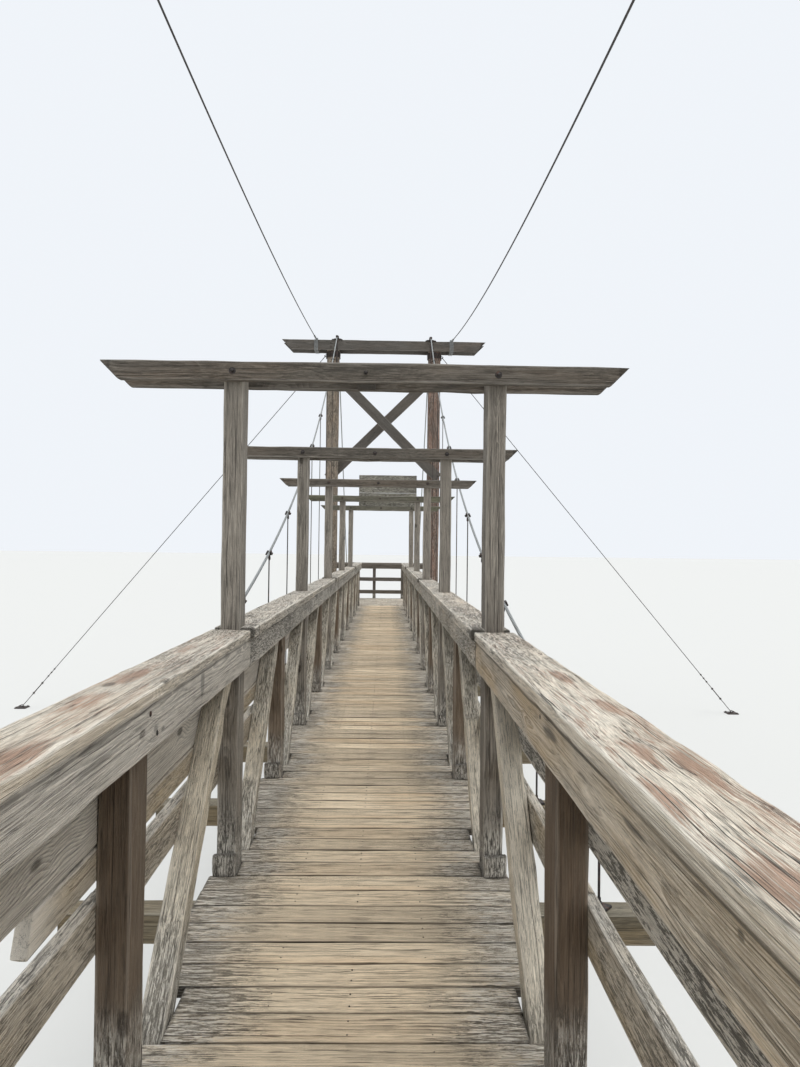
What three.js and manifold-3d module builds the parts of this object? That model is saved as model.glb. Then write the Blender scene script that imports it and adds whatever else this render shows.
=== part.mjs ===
// Timber suspension footbridge, modelled at half its real size.
// Every dimension below is the real bridge's, in millimetres, and modelScale halves the finished group.
// X runs across the walkway, Y along it and Z up. The origin is on the ground under midspan.
import * as THREE from 'three';
import { mergeVertices } from 'three/addons/utils/BufferGeometryUtils.js';
import Module from 'manifold-3d';

const wasm = await Module();
wasm.setup();

const modelScale = 0.5;
const seat = 0.6; // gap left at turned or notched faces

// Timber sections
const boardThickness = 38;
const chordHeight = 140;
const fasciaHeight = 374;
const capWidth = 184;
const postWidth = 89;
const postDepth = 140;
const diagonalWidth = 89;
const beamSection = 140;
const towerBoard = 235;

// The walkway and its trusses
const panel = 1524;
const trussPanels = 13;
const towerPanel = 12;
const hangerPanels = 11;
const portalSpacing = 2;
const portalPanels = 10;
const postCentre = 609.5;
const deckTop = 2400;
const capTop = deckTop + 1116;
const capInner = 514;
const capStep = 18;
const midRailTop = deckTop + 553;
const diagonalFoot = 210;
const portalTop = deckTop + 2345;
const portalBeamHeight = 89;
const portalBeamLength = 2438;
const floorBeamLength = 2740;
const stringerPlaces = [-264, 0, 264];
const deckOuter = 690;
const deckPitch = panel / 10;
const deckEndGap = 10;
const spliceBoard = { start: 1070, end: 4950, height: 89, gap: 8 };
const trussEnd = trussPanels * panel + postDepth / 2;

// Heights worked out from the deck
const deckUnderside = deckTop - boardThickness;
const stringerUnderside = deckUnderside - chordHeight;
const floorBeamUnderside = stringerUnderside - beamSection;
const capUnderside = capTop - boardThickness;
const portalBeamUnderside = portalTop - portalBeamHeight;

// Planes across the truss
const postInner = postCentre - postWidth / 2;
const postOuter = postCentre + postWidth / 2;
const chordInner = postInner - boardThickness;
const chordOuter = postOuter + boardThickness;

// The towers
const towerY = towerPanel * panel;
const poleCentre = 1220;
const poleRadius = 157;
const poleSides = 16;
const poleFlat = poleRadius * Math.cos(Math.PI / poleSides);
const towerTop = deckTop + 6461;
const towerBeamLength = 4877;
const towerBoardInner = poleFlat + seat;
const towerBoardOuter = towerBoardInner + boardThickness;
const braceLow = deckTop + 3290;
const braceHigh = deckTop + 5710;
const braceOverrun = 150;
const spacerCentre = 1620;
const spacerWidth = 140;
const crossBeamLength = 3000;
const crossBeamHeight = 286;
const crossSpacerCentre = 850;

// Saddles, cables and hangers
const saddlePlate = { x: 260, y: 430, z: 12 };
const saddleHeight = 110;
const saddleBase = 180;
const saddleCrown = 40;
const saddleBend = 450;
const cableX = 1120;
const cableRadius = 13;
const cableSides = 6;
const cableLow = deckTop + 330;
const saddleClearance = 1.4;
const cableHigh = towerTop + seat + saddlePlate.z + saddleHeight + saddleClearance + cableRadius;
const backstayAngle = Math.PI / 4;
const spanSteps = 24;
const saddleSteps = 10;
const saddleClamp = { x: 56, y: 90, z: 60 };
const hangerRadius = 8;
const hangerPlate = { x: 90, y: 90, z: 12 };
const anchorBlock = { x: 900, y: 1200, z: 520 };
const anchorPlate = { x: 200, y: 240, z: 24 };
const tieRadius = 9;
const tieLow = { left: deckTop + 5420, right: deckTop + 4880 };
const tieSteps = 24;
const tieClamp = { x: 60, y: 60, z: 90 };
const guyRadius = 8;
const guyHigh = deckTop + 6120;
const guyLug = { x: 60, y: 60, z: 80 };
const guyFootX = 8500;
const guyPlate = { x: 260, y: 260, z: 24 };

// Landings beyond the truss ends
const landingEnd = 15 * panel;
const landingHalfWidth = 1524;
const landingLegX = 1300;
const landingJoists = 5;
const railPostPlaces = [-1440, -230, 605, 1440];
const endRailTop = deckTop + 1060;
const endRailCentres = [200, 570];

// Blank sign boards on the outermost portals
const signBoard = { centre: 130, width: 1170, thickness: 19, top: deckTop + 2980 };

const finishes = {
  post: new THREE.MeshStandardMaterial({ color: 0x7d7467, roughness: 0.9, metalness: 0 }),
  chord: new THREE.MeshStandardMaterial({ color: 0x8c8375, roughness: 0.9, metalness: 0 }),
  cap: new THREE.MeshStandardMaterial({ color: 0xb9aa96, roughness: 0.85, metalness: 0 }),
  deck: new THREE.MeshStandardMaterial({ color: 0xa3937a, roughness: 0.9, metalness: 0 }),
  floor: new THREE.MeshStandardMaterial({ color: 0x857a68, roughness: 0.9, metalness: 0 }),
  pole: new THREE.MeshStandardMaterial({ color: 0x7a6148, roughness: 0.9, metalness: 0 }),
  board: new THREE.MeshStandardMaterial({ color: 0x5a564e, roughness: 0.9, metalness: 0 }),
  steel: new THREE.MeshStandardMaterial({ color: 0x777a7b, roughness: 0.5, metalness: 0.8 }),
  darkSteel: new THREE.MeshStandardMaterial({ color: 0x3c3a38, roughness: 0.6, metalness: 0.7 }),
  concrete: new THREE.MeshStandardMaterial({ color: 0x9c998f, roughness: 0.95, metalness: 0 }),
};

const group = new THREE.Group();
group.scale.setScalar(modelScale);

function place(name, geometry, finish) {
  const mesh = new THREE.Mesh(geometry, finishes[finish]);
  mesh.name = name;
  group.add(mesh);
}

// Solids and booleans
function toSolid(geometry) {
  const copy = geometry.clone();
  copy.deleteAttribute('normal');
  copy.deleteAttribute('uv');
  const merged = mergeVertices(copy, 1e-3);
  return new wasm.Manifold(new wasm.Mesh({
    numProp: 3,
    vertProperties: new Float32Array(merged.attributes.position.array),
    triVerts: new Uint32Array(merged.index.array),
  }));
}

function toGeometry(solid) {
  const mesh = solid.getMesh();
  const geometry = new THREE.BufferGeometry();
  geometry.setAttribute('position', new THREE.BufferAttribute(new Float32Array(mesh.vertProperties), 3));
  geometry.setIndex(new THREE.BufferAttribute(new Uint32Array(mesh.triVerts), 1));
  return geometry;
}

function join(geometries) {
  const solids = geometries.map(toSolid);
  return toGeometry(solids.slice(1).reduce((sum, solid) => sum.add(solid), solids[0]));
}

function cut(geometry, cutters) {
  return toGeometry(cutters.map(toSolid).reduce((rest, solid) => rest.subtract(solid), toSolid(geometry)));
}

function box(x0, x1, y0, y1, z0, z1) {
  const geometry = new THREE.BoxGeometry(Math.abs(x1 - x0), Math.abs(y1 - y0), Math.abs(z1 - z0));
  geometry.translate((x0 + x1) / 2, (y0 + y1) / 2, (z0 + z1) / 2);
  return geometry;
}

function block(x, y, z, size) {
  return box(x - size.x / 2, x + size.x / 2, y - size.y / 2, y + size.y / 2, z - size.z / 2, z + size.z / 2);
}

function extrude(outline, depth) {
  const shape = new THREE.Shape(outline.map(([u, v]) => new THREE.Vector2(u, v)));
  return new THREE.ExtrudeGeometry(shape, { depth, bevelEnabled: false });
}

// A prism along X on an outline drawn in Y and Z
function prismX(outline, low, high) {
  const geometry = extrude(outline, high - low);
  const at = geometry.attributes.position;
  for (let i = 0; i < at.count; i += 1) {
    at.setXYZ(i, low + at.getZ(i), at.getX(i), at.getY(i));
  }
  return geometry;
}

// A prism along Y on an outline drawn in X and Z
function prismY(outline, low, high) {
  const geometry = extrude(outline, high - low);
  const at = geometry.attributes.position;
  for (let i = 0; i < at.count; i += 1) {
    at.setXYZ(i, at.getX(i), high - at.getZ(i), at.getY(i));
  }
  return geometry;
}

// A round bar along a curve, closed at both ends
function bar(curve, radius, sides, steps) {
  const section = new THREE.Shape();
  for (let i = 0; i < sides; i += 1) {
    const angle = (2 * Math.PI * (i + 0.5)) / sides;
    const corner = [radius * Math.cos(angle), radius * Math.sin(angle)];
    if (i === 0) {
      section.moveTo(...corner);
    } else {
      section.lineTo(...corner);
    }
  }
  return new THREE.ExtrudeGeometry(section, { steps, bevelEnabled: false, extrudePath: curve });
}

function straightBar(from, to, radius, sides) {
  return bar(new THREE.LineCurve3(new THREE.Vector3(...from), new THREE.Vector3(...to)), radius, sides, 1);
}

// A curve through x(t), y(t), z(t) for t from 0 to 1
class FormulaCurve extends THREE.Curve {
  constructor(formula) {
    super();
    this.formula = formula;
  }

  getPoint(t, target = new THREE.Vector3()) {
    return target.set(...this.formula(t));
  }
}

const sides = [['left', -1], ['right', 1]];
const ends = [['near', -1], ['far', 1]];
const panelPoints = [];
for (let k = -trussPanels; k <= trussPanels; k += 1) {
  panelPoints.push(k);
}
const isPortal = (k) => Math.abs(k) <= portalPanels && k % portalSpacing === 0;
const isTower = (k) => Math.abs(k) === towerPanel;

// A post between the truss chords, standing on its floor beam
function post(side, y, top) {
  const reach = postDepth / 2;
  return box(side * postInner, side * postOuter, y - reach, y + reach, stringerUnderside, top);
}

// Portal frames: two posts from the floor beam up, with a board bolted on their front and one on their back
function portalFrame(y) {
  const half = portalBeamLength / 2;
  const dap = 1;
  const outline = [
    [-half + portalBeamHeight, portalBeamUnderside],
    [half - portalBeamHeight, portalBeamUnderside],
    [half, portalTop],
    [-half, portalTop],
  ];
  const reach = postDepth / 2;
  const pieces = [
    prismY(outline, y - reach - boardThickness, y - reach + dap),
    prismY(outline, y + reach - dap, y + reach + boardThickness),
    box(-postWidth / 2, postWidth / 2, y - reach - dap, y + reach + dap, portalBeamUnderside, portalTop),
  ];
  for (const [, side] of sides) {
    pieces.push(post(side, y, portalTop));
  }
  return join(pieces);
}

for (const k of panelPoints.filter(isPortal)) {
  const count = Math.abs(k / portalSpacing);
  const label = k === 0 ? 'mid' : `${k < 0 ? 'near' : 'far'}_${count}`;
  place(`portal_frame_${label}`, portalFrame(k * panel), 'post');
}

// Trusses: the bottom chords with the plain posts and diagonals that they hold between them.
// The two panels beside midspan have no diagonal.
const diagonalHeight = capUnderside - stringerUnderside;
const diagonalRun = panel - diagonalFoot - postDepth / 2 - seat;
const diagonalSpread = diagonalWidth / 2 * Math.hypot(1, (diagonalRun - diagonalWidth / 2) / diagonalHeight);

function diagonal(side, end, k) {
  const foot = k * panel + diagonalFoot;
  const head = (k + 1) * panel - postDepth / 2 - seat - diagonalSpread;
  const outline = [
    [end * (foot - diagonalSpread), stringerUnderside],
    [end * (foot + diagonalSpread), stringerUnderside],
    [end * (head + diagonalSpread), capUnderside],
    [end * (head - diagonalSpread), capUnderside],
  ];
  const faces = [side * postInner, side * postOuter];
  return prismX(outline, Math.min(...faces), Math.max(...faces));
}

function trussWeb(side) {
  const pieces = [];
  for (const [inner, outer] of [[chordInner, postInner], [postOuter, chordOuter]]) {
    pieces.push(longBoard(side, inner, outer, deckUnderside, chordHeight));
  }
  for (const k of panelPoints.filter((point) => !isPortal(point))) {
    pieces.push(post(side, k * panel, capUnderside));
  }
  for (const [, end] of ends) {
    for (let k = 1; k < trussPanels; k += 1) {
      pieces.push(diagonal(side, end, k));
    }
  }
  return join(pieces);
}

// Cap boards: one from each portal to the next, set a little in or out of line, and notched round the posts
function capRail(side) {
  const segments = [];
  for (const [, end] of ends) {
    for (let k = 0; k < trussPanels; k += portalSpacing) {
      const inner = (k / portalSpacing) % 2 === 0 ? capInner : capInner - capStep;
      const start = k === 0 ? 0 : k * panel + postDepth / 2 - 2;
      const stop = Math.min((k + portalSpacing) * panel + postDepth / 2, trussEnd);
      const outer = inner + capWidth;
      segments.push(box(side * inner, side * outer, end * start, end * stop, capUnderside, capTop));
    }
  }
  const notches = panelPoints.filter(isPortal).map((k) => box(
    side * (postInner - seat),
    side * (postOuter + seat),
    k * panel - postDepth / 2 - seat,
    k * panel + postDepth / 2 + seat,
    capUnderside - boardThickness,
    capTop + boardThickness,
  ));
  return cut(join(segments), notches);
}

// A board laid along the whole truss
function longBoard(side, inner, outer, top, height) {
  return box(side * inner, side * outer, -trussEnd, trussEnd, top - height, top);
}

for (const [label, side] of sides) {
  place(`truss_web_${label}`, trussWeb(side), 'post');
  const inner = longBoard(side, chordInner, postInner, capUnderside, chordHeight);
  place(`top_chord_inner_${label}`, inner, 'chord');
  const outer = longBoard(side, postOuter, chordOuter, capUnderside, fasciaHeight);
  place(`top_chord_outer_${label}`, outer, 'chord');
  const midRail = longBoard(side, postOuter, chordOuter, midRailTop, chordHeight);
  place(`mid_rail_${label}`, midRail, 'chord');
  place(`cap_rail_${label}`, capRail(side), 'cap');
}

const spliceTop = capUnderside - fasciaHeight - spliceBoard.gap;
const splice = box(
  -chordOuter, -postOuter, spliceBoard.start, spliceBoard.end, spliceTop - spliceBoard.height, spliceTop,
);
place('splice_board_left', splice, 'chord');

// Floor: beams across, stringers along them, and the deck on top
function floorFrame() {
  const half = floorBeamLength / 2;
  const reach = beamSection / 2;
  const beams = panelPoints.filter((k) => !isTower(k)).map((k) => box(
    -half, half, k * panel - reach, k * panel + reach, floorBeamUnderside, stringerUnderside,
  ));
  const stringers = stringerPlaces.map((x) => box(
    x - boardThickness / 2, x + boardThickness / 2, -trussEnd, trussEnd, stringerUnderside, deckUnderside,
  ));
  return join([...beams, ...stringers]);
}

// The deck lies over the bottom chords, cut short beside the posts and where the diagonals pass
function deckSlab() {
  const half = postInner - seat;
  const fromPost = postDepth / 2 + deckEndGap;
  const edge = [];
  for (let k = 0; k < trussPanels; k += 1) {
    const [start, stop] = [k * panel + fromPost, (k + 1) * panel - fromPost];
    const wide = k === 0 ? [[start, stop]] : [[start, start + deckPitch], [start + 3 * deckPitch, stop]];
    for (const [low, high] of wide) {
      edge.push([half, low], [deckOuter, low], [deckOuter, high], [half, high]);
    }
  }
  const farRight = [...edge, [half, trussEnd]];
  const farLeft = farRight.map(([x, y]) => [-x, y]).reverse();
  const nearLeft = farRight.map(([x, y]) => [-x, -y]);
  const nearRight = farRight.map(([x, y]) => [x, -y]).reverse();
  const geometry = extrude([...farRight, ...farLeft, ...nearLeft, ...nearRight], boardThickness);
  geometry.translate(0, 0, deckUnderside);
  return geometry;
}

place('floor_frame', floorFrame(), 'floor');
place('deck', deckSlab(), 'deck');

// Towers: round poles with paired boards on top, a cross brace, and a paired beam under the floor
function uprightPole(x, y) {
  const geometry = new THREE.CylinderGeometry(poleRadius, poleRadius, towerTop, poleSides);
  geometry.rotateX(Math.PI / 2);
  geometry.rotateZ(Math.PI / poleSides);
  geometry.translate(x, y, towerTop / 2);
  return geometry;
}

function boardPair(y, outline, spacers) {
  const reach = towerBoardInner + 1;
  const half = spacerWidth / 2;
  return join([
    prismY(outline, y - towerBoardOuter, y - towerBoardInner),
    prismY(outline, y + towerBoardInner, y + towerBoardOuter),
    ...spacers.map(([x, low, high]) => box(x - half, x + half, y - reach, y + reach, low, high)),
  ]);
}

function towerBeam(y) {
  const half = towerBeamLength / 2;
  const low = towerTop - towerBoard;
  const outline = [[-half + towerBoard, low], [half - towerBoard, low], [half, towerTop], [-half, towerTop]];
  return boardPair(y, outline, sides.map(([, side]) => [side * spacerCentre, low, towerTop]));
}

function towerCrossBeam(y) {
  const half = crossBeamLength / 2;
  const low = stringerUnderside - crossBeamHeight;
  const outline = [[-half, low], [half, low], [half, stringerUnderside], [-half, stringerUnderside]];
  return boardPair(y, outline, sides.map(([, side]) => [side * crossSpacerCentre, low, low + beamSection]));
}

function towerBrace(y, face, rise) {
  const climb = rise * (braceHigh - braceLow);
  const middle = (braceHigh + braceLow) / 2;
  const along = new THREE.Vector2(2 * poleCentre, climb).normalize();
  const across = new THREE.Vector2(-along.y, along.x).multiplyScalar(towerBoard / 2);
  const left = new THREE.Vector2(-poleCentre, middle - climb / 2).addScaledVector(along, -braceOverrun);
  const right = new THREE.Vector2(poleCentre, middle + climb / 2).addScaledVector(along, braceOverrun);
  const outline = [
    left.clone().sub(across), right.clone().sub(across), right.clone().add(across), left.clone().add(across),
  ].map((corner) => [corner.x, corner.y]);
  const planes = [y + face * towerBoardInner, y + face * towerBoardOuter];
  return prismY(outline, Math.min(...planes), Math.max(...planes));
}

function saddle(x, y) {
  const base = towerTop + seat;
  const plateTop = base + saddlePlate.z;
  const [crownCorner, baseCorner] = [saddleCrown / Math.SQRT2, saddleBase / Math.SQRT2];
  const crown = new THREE.CylinderGeometry(crownCorner, baseCorner, saddleHeight + 1, 4);
  crown.rotateX(Math.PI / 2);
  crown.rotateZ(Math.PI / 4);
  crown.translate(x, y, plateTop - 1 + (saddleHeight + 1) / 2);
  const plate = block(x, y, base + saddlePlate.z / 2, saddlePlate);
  return join([plate, crown]);
}

for (const [endLabel, end] of ends) {
  const y = end * towerY;
  place(`tower_beam_${endLabel}`, towerBeam(y), 'post');
  place(`tower_cross_beam_${endLabel}`, towerCrossBeam(y), 'floor');
  place(`tower_brace_${endLabel}_inner`, towerBrace(y, -end, -1), 'post');
  place(`tower_brace_${endLabel}_outer`, towerBrace(y, end, 1), 'post');
  for (const [label, side] of sides) {
    place(`tower_pole_${endLabel}_${label}`, uprightPole(side * poleCentre, y), 'pole');
    place(`saddle_${endLabel}_${label}`, saddle(side * cableX, y), 'darkSteel');
  }
}

// Main cables: a parabola between the towers, an arc over each saddle, a straight backstay to each anchor
const spanAngle = Math.atan(2 * (cableHigh - cableLow) / towerY);
const spanEndY = towerY - saddleBend * Math.sin(spanAngle);
const spanEndZ = cableHigh - saddleBend * (1 - Math.cos(spanAngle));
const sagFactor = (spanEndZ - cableLow) / spanEndY ** 2;
const backstayY = towerY + saddleBend * Math.sin(backstayAngle);
const backstayZ = cableHigh - saddleBend * (1 - Math.cos(backstayAngle));
const anchorTop = anchorBlock.z + seat;
const cableFootZ = anchorTop + anchorPlate.z;
const anchorY = backstayY + (backstayZ - cableFootZ) / Math.tan(backstayAngle);
const cableHeight = (y) => cableLow + sagFactor * y * y;

function mainCable(side) {
  const x = side * cableX;
  const span = new FormulaCurve((t) => {
    const y = spanEndY * (2 * t - 1);
    return [x, y, cableHeight(y)];
  });
  const pieces = [bar(span, cableRadius, cableSides, spanSteps)];
  for (const [, end] of ends) {
    const turn = spanAngle + backstayAngle;
    const arc = new FormulaCurve((t) => {
      const angle = turn * t - spanAngle;
      const y = towerY + saddleBend * Math.sin(angle);
      return [x, end * y, cableHigh - saddleBend * (1 - Math.cos(angle))];
    });
    pieces.push(bar(arc, cableRadius, cableSides, saddleSteps));
    const backstay = [[x, end * backstayY, backstayZ], [x, end * anchorY, cableFootZ]];
    pieces.push(straightBar(...backstay, cableRadius, cableSides));
    pieces.push(block(x, end * spanEndY, spanEndZ, saddleClamp));
    pieces.push(block(x, end * backstayY, backstayZ, saddleClamp));
    pieces.push(block(x, end * anchorY, anchorTop + anchorPlate.z / 2, anchorPlate));
  }
  for (let k = -hangerPanels; k <= hangerPanels; k += 1) {
    const y = k * panel;
    const foot = stringerUnderside + seat + hangerPlate.z / 2;
    pieces.push(straightBar([x, y, foot], [x, y, cableHeight(y)], hangerRadius, cableSides));
    pieces.push(block(x, y, foot, hangerPlate));
  }
  return join(pieces);
}

// Overhead ties: a slack line from tower beam to tower beam, clamped on top of the spacer blocks.
// The right one hangs lower.
function overheadTie(side, low) {
  const x = side * spacerCentre;
  const tieHigh = towerTop + seat + tieClamp.z / 2;
  const line = new FormulaCurve((t) => {
    const y = towerY * (2 * t - 1);
    return [x, y, low + (tieHigh - low) * (y / towerY) ** 2];
  });
  return join([
    bar(line, tieRadius, cableSides, tieSteps),
    ...ends.map(([, end]) => block(x, end * towerY, tieHigh, tieClamp)),
  ]);
}

// Side guys: a lug on the outer face of each pole, a straight line and a foot plate on the ground
function sideGuy(side, y) {
  const lugX = side * (poleCentre + poleFlat + seat + guyLug.x / 2);
  return join([
    block(lugX, y, guyHigh, guyLug),
    straightBar([lugX, y, guyHigh], [side * guyFootX, y, guyPlate.z / 2], guyRadius, cableSides),
    block(side * guyFootX, y, guyPlate.z / 2, guyPlate),
  ]);
}

for (const [label, side] of sides) {
  place(`main_cable_${label}`, mainCable(side), 'steel');
  place(`overhead_tie_${label}`, overheadTie(side, tieLow[label]), 'darkSteel');
  for (const [endLabel, end] of ends) {
    place(`side_guy_${endLabel}_${label}`, sideGuy(side, end * towerY), 'darkSteel');
    const anchor = block(side * cableX, end * anchorY, anchorBlock.z / 2, anchorBlock);
    place(`anchor_block_${endLabel}_${label}`, anchor, 'concrete');
  }
}

// Landings: a platform on two bents beyond each end of the truss, with a rail across its far edge
function endBox(end, x0, x1, y0, y1, z0, z1) {
  return box(x0, x1, end * y0, end * y1, z0, z1);
}

function landing(end) {
  const start = trussEnd + seat;
  const sill = floorBeamUnderside - seat;
  const reach = landingHalfWidth;
  const lastBeam = landingEnd - beamSection;
  const pieces = [
    endBox(end, -reach, reach, start, landingEnd, deckUnderside, deckTop),
    endBox(end, -reach, reach, trussEnd - beamSection, start + beamSection, sill - beamSection, sill),
    endBox(end, -reach, reach, start, start + beamSection, sill - 1, stringerUnderside),
    endBox(end, -reach, reach, lastBeam, landingEnd, floorBeamUnderside, stringerUnderside),
  ];
  for (let i = 0; i < landingJoists; i += 1) {
    const x = (i / (landingJoists - 1) - 0.5) * (2 * reach - boardThickness);
    const [low, high] = [x - boardThickness / 2, x + boardThickness / 2];
    pieces.push(endBox(end, low, high, start, landingEnd, stringerUnderside - 1, deckUnderside + 1));
  }
  for (const [, side] of sides) {
    const [low, high] = [side * landingLegX - beamSection / 2, side * landingLegX + beamSection / 2];
    const legTop = sill - beamSection + 1;
    pieces.push(endBox(end, low, high, trussEnd - beamSection / 2, trussEnd + beamSection / 2, 0, legTop));
    pieces.push(endBox(end, low, high, lastBeam, landingEnd, 0, floorBeamUnderside + 1));
  }
  return join(pieces);
}

function endRail(end) {
  const face = landingEnd - postWidth;
  const capLow = endRailTop - boardThickness;
  const pieces = railPostPlaces.map((x) => endBox(
    end, end * x - postWidth / 2, end * x + postWidth / 2, face, landingEnd, deckTop, capLow + 1,
  ));
  const reach = landingHalfWidth;
  const inward = face - boardThickness;
  pieces.push(endBox(end, -reach, reach, inward, inward + chordHeight, capLow, endRailTop));
  pieces.push(endBox(end, -reach, reach, inward, face + 1, capLow - chordHeight, capLow + 1));
  for (const centre of endRailCentres) {
    const low = deckTop + centre - portalBeamHeight / 2;
    pieces.push(endBox(end, -reach, reach, inward, face + 1, low, low + portalBeamHeight));
  }
  return join(pieces);
}

function signPlate(end) {
  const y = portalPanels * panel + postDepth / 2 + boardThickness;
  const low = end * signBoard.centre - signBoard.width / 2;
  const high = low + signBoard.width;
  return endBox(end, low, high, y, y + signBoard.thickness, portalBeamUnderside, signBoard.top);
}

for (const [label, end] of ends) {
  place(`landing_${label}`, landing(end), 'deck');
  place(`end_rail_${label}`, endRail(end), 'post');
  place(`sign_board_${label}`, signPlate(end), 'board');
}

export default group;
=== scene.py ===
"""The looks of a timber suspension footbridge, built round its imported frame.

Sizes are the real bridge's, in metres, and MODEL_SCALE halves every finished mesh.
X runs across the walkway, Y along it and Z up. The origin is on the ground under midspan.
"""

import math
import zlib

import bmesh
import bpy
import numpy as np
from mathutils import Matrix, Vector


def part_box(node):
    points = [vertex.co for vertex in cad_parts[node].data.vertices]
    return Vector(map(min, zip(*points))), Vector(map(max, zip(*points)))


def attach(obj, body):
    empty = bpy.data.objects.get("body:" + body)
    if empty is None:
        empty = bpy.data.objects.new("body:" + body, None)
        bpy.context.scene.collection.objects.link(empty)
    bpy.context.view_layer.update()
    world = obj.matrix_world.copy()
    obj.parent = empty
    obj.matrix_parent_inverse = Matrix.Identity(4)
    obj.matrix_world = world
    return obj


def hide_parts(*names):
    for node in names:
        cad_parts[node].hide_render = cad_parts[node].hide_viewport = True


bl_info = {
    "name": "Timber suspension footbridge",
    "version": (1, 0, 0),
    "blender": (4, 5, 0),
    "location": "View3D > Sidebar > Footbridge",
    "description": "Builds the boards, posts, poles, cables and fittings of a timber suspension footbridge",
    "category": "Add Mesh",
}

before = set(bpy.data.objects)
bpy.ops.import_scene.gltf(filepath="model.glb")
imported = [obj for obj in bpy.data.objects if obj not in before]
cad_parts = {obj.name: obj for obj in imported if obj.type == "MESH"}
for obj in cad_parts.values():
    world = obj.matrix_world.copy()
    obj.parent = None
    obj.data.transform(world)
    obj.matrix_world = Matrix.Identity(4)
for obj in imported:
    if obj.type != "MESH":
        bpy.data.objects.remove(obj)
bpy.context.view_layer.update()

MODEL_SCALE = 0.5

# Timber sections
BOARD = 0.038
CHORD = 0.140
POST_X = 0.089
POST_Y = 0.140
DIAGONAL = 0.089
BEAM = 0.140
TOWER_BOARD = 0.235
CAP = 0.184
FASCIA_LOW = 0.232

# The walkway
PANEL = 1.524
TRUSS_PANELS = 13
TOWER_PANEL = 12
HANGER_PANELS = 11
PORTAL_PANELS = 10
MOSSY_PANELS = 8
POST_CENTRE = 0.6095
DECK_TOP = 2.400
DECK_UNDER = DECK_TOP - BOARD
STRINGER_UNDER = DECK_UNDER - CHORD
BEAM_UNDER = STRINGER_UNDER - BEAM
CAP_TOP = DECK_TOP + 1.116
CAP_UNDER = CAP_TOP - BOARD
CAP_INNER = 0.514
CAP_STEP = 0.018
MID_RAIL_TOP = DECK_TOP + 0.553
DIAGONAL_FOOT = 0.210
PORTAL_TOP = DECK_TOP + 2.345
PORTAL_BEAM = 2.438
FLOOR_BEAM = 2.740
STRINGERS = (-0.264, 0.0, 0.264)
DECK_PITCH = 0.1524
PANEL_BOARDS = 10
BOARD_KINDS = 6
DECK_OUTER = 0.690
TRUSS_END = TRUSS_PANELS * PANEL + POST_Y / 2
SPLICE_START = 1.070
SPLICE_END = 4.950
SPLICE_HEIGHT = 0.089
BASE_WIDE = 0.103
BASE_DEEP = 0.026
BASE_HIGH = 0.098
BASE_X = 0.617

# Planes across the truss
POST_INNER = POST_CENTRE - POST_X / 2
POST_OUTER = POST_CENTRE + POST_X / 2
CHORD_INNER = POST_INNER - BOARD / 2
CHORD_OUTER = POST_OUTER + BOARD / 2

# Towers, cables and anchors
TOWER_Y = TOWER_PANEL * PANEL
POLE_CENTRE = 1.220
POLE_RADIUS = 0.157
POLE_SIDES = 40
POLE_ROWS = 60
POLE_CHECKS = 7
TOWER_TOP = DECK_TOP + 6.461
TOWER_BEAM = 4.877
TOWER_PLANE = 0.1736
SPACER = 0.140
SPACER_X = 0.850
CROSS_BEAM = 0.286
CROSS_BEAM_HALF = 1.500
BRACE_LOW = DECK_TOP + 3.290
BRACE_HIGH = DECK_TOP + 5.710
BRACE_OVERRUN = 0.150
TIE_X = 1.620
CABLE_X = 1.120
CABLE_RADIUS = 0.013
TIE_RADIUS = 0.009
GUY_RADIUS = 0.008
HANGER_RADIUS = 0.0065
STRANDS = 6
CABLE_LOW = DECK_TOP + 0.330
CABLE_HIGH = TOWER_TOP + 0.137
SADDLE_BEND = 0.450
SADDLE_TURN = 0.420
BACKSTAY = math.pi / 4
TIE_LOW = {"left": DECK_TOP + 5.420, "right": DECK_TOP + 4.880}
GUY_HIGH = DECK_TOP + 6.120
GUY_FOOT_X = 8.500
ANCHOR_Y = 26.928
ANCHOR_TOP = 0.520

# Landings
LANDING_END = 15 * PANEL
LANDING_HALF = 1.524
LANDING_LEG = 1.300
END_POSTS = (-1.440, -0.230, 0.605, 1.440)
END_RAIL_TOP = DECK_TOP + 1.060
END_RAILS = (0.200, 0.570)
END_RAIL = 0.108
LANDING_BOARDS = 19
LANDING_STRINGERS = 5

# Small parts, where a plate or a block is its size along X, Y and Z
JOINT_GAP = 0.003
CHORD_NAIL = 0.016
DECK_NAIL_GAP = 0.035
CLAMP_CHEEK = (0.018, 0.070, 0.040)
HANGER_PLATE = 0.090
HANGER_NUT = 0.036
SADDLE_PLATE = (0.260, 0.430, 0.012)
SADDLE_CHEEK = 0.008
SADDLE_TROUGH = 0.018
BEAM_STRAP = (0.034, 0.006, 0.560)
WRAP_TURNS = 6
WRAP_PITCH = 0.024
WRAP_ROPE = 0.010
ANCHOR_PLATE = (0.200, 0.240, 0.024)
CABLE_SOCKET = ((0.020, 0.0), (0.036, 0.05), (0.036, 0.16), (0.019, 0.30), (0.016, 0.34))
TIE_CLAMP = (0.060, 0.060, 0.088)
TIE_LASHINGS = (-0.036, -0.012, 0.012, 0.036)
GUY_PLATE = (0.260, 0.260, 0.024)
GUY_CLIP = (0.034, 0.034, 0.034)
TURNBUCKLE_START = 0.420
TURNBUCKLE = 0.300

# The photograph's view, fitted to the portals: real metres, degrees and the 36 mm sensor's focal length
EYE = Vector((0.101, -0.654, DECK_TOP + 1.499))
YAW = 1.025
PITCH = 1.072
ROLL = 0.677
FOCAL_LENGTH = 26.543

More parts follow.
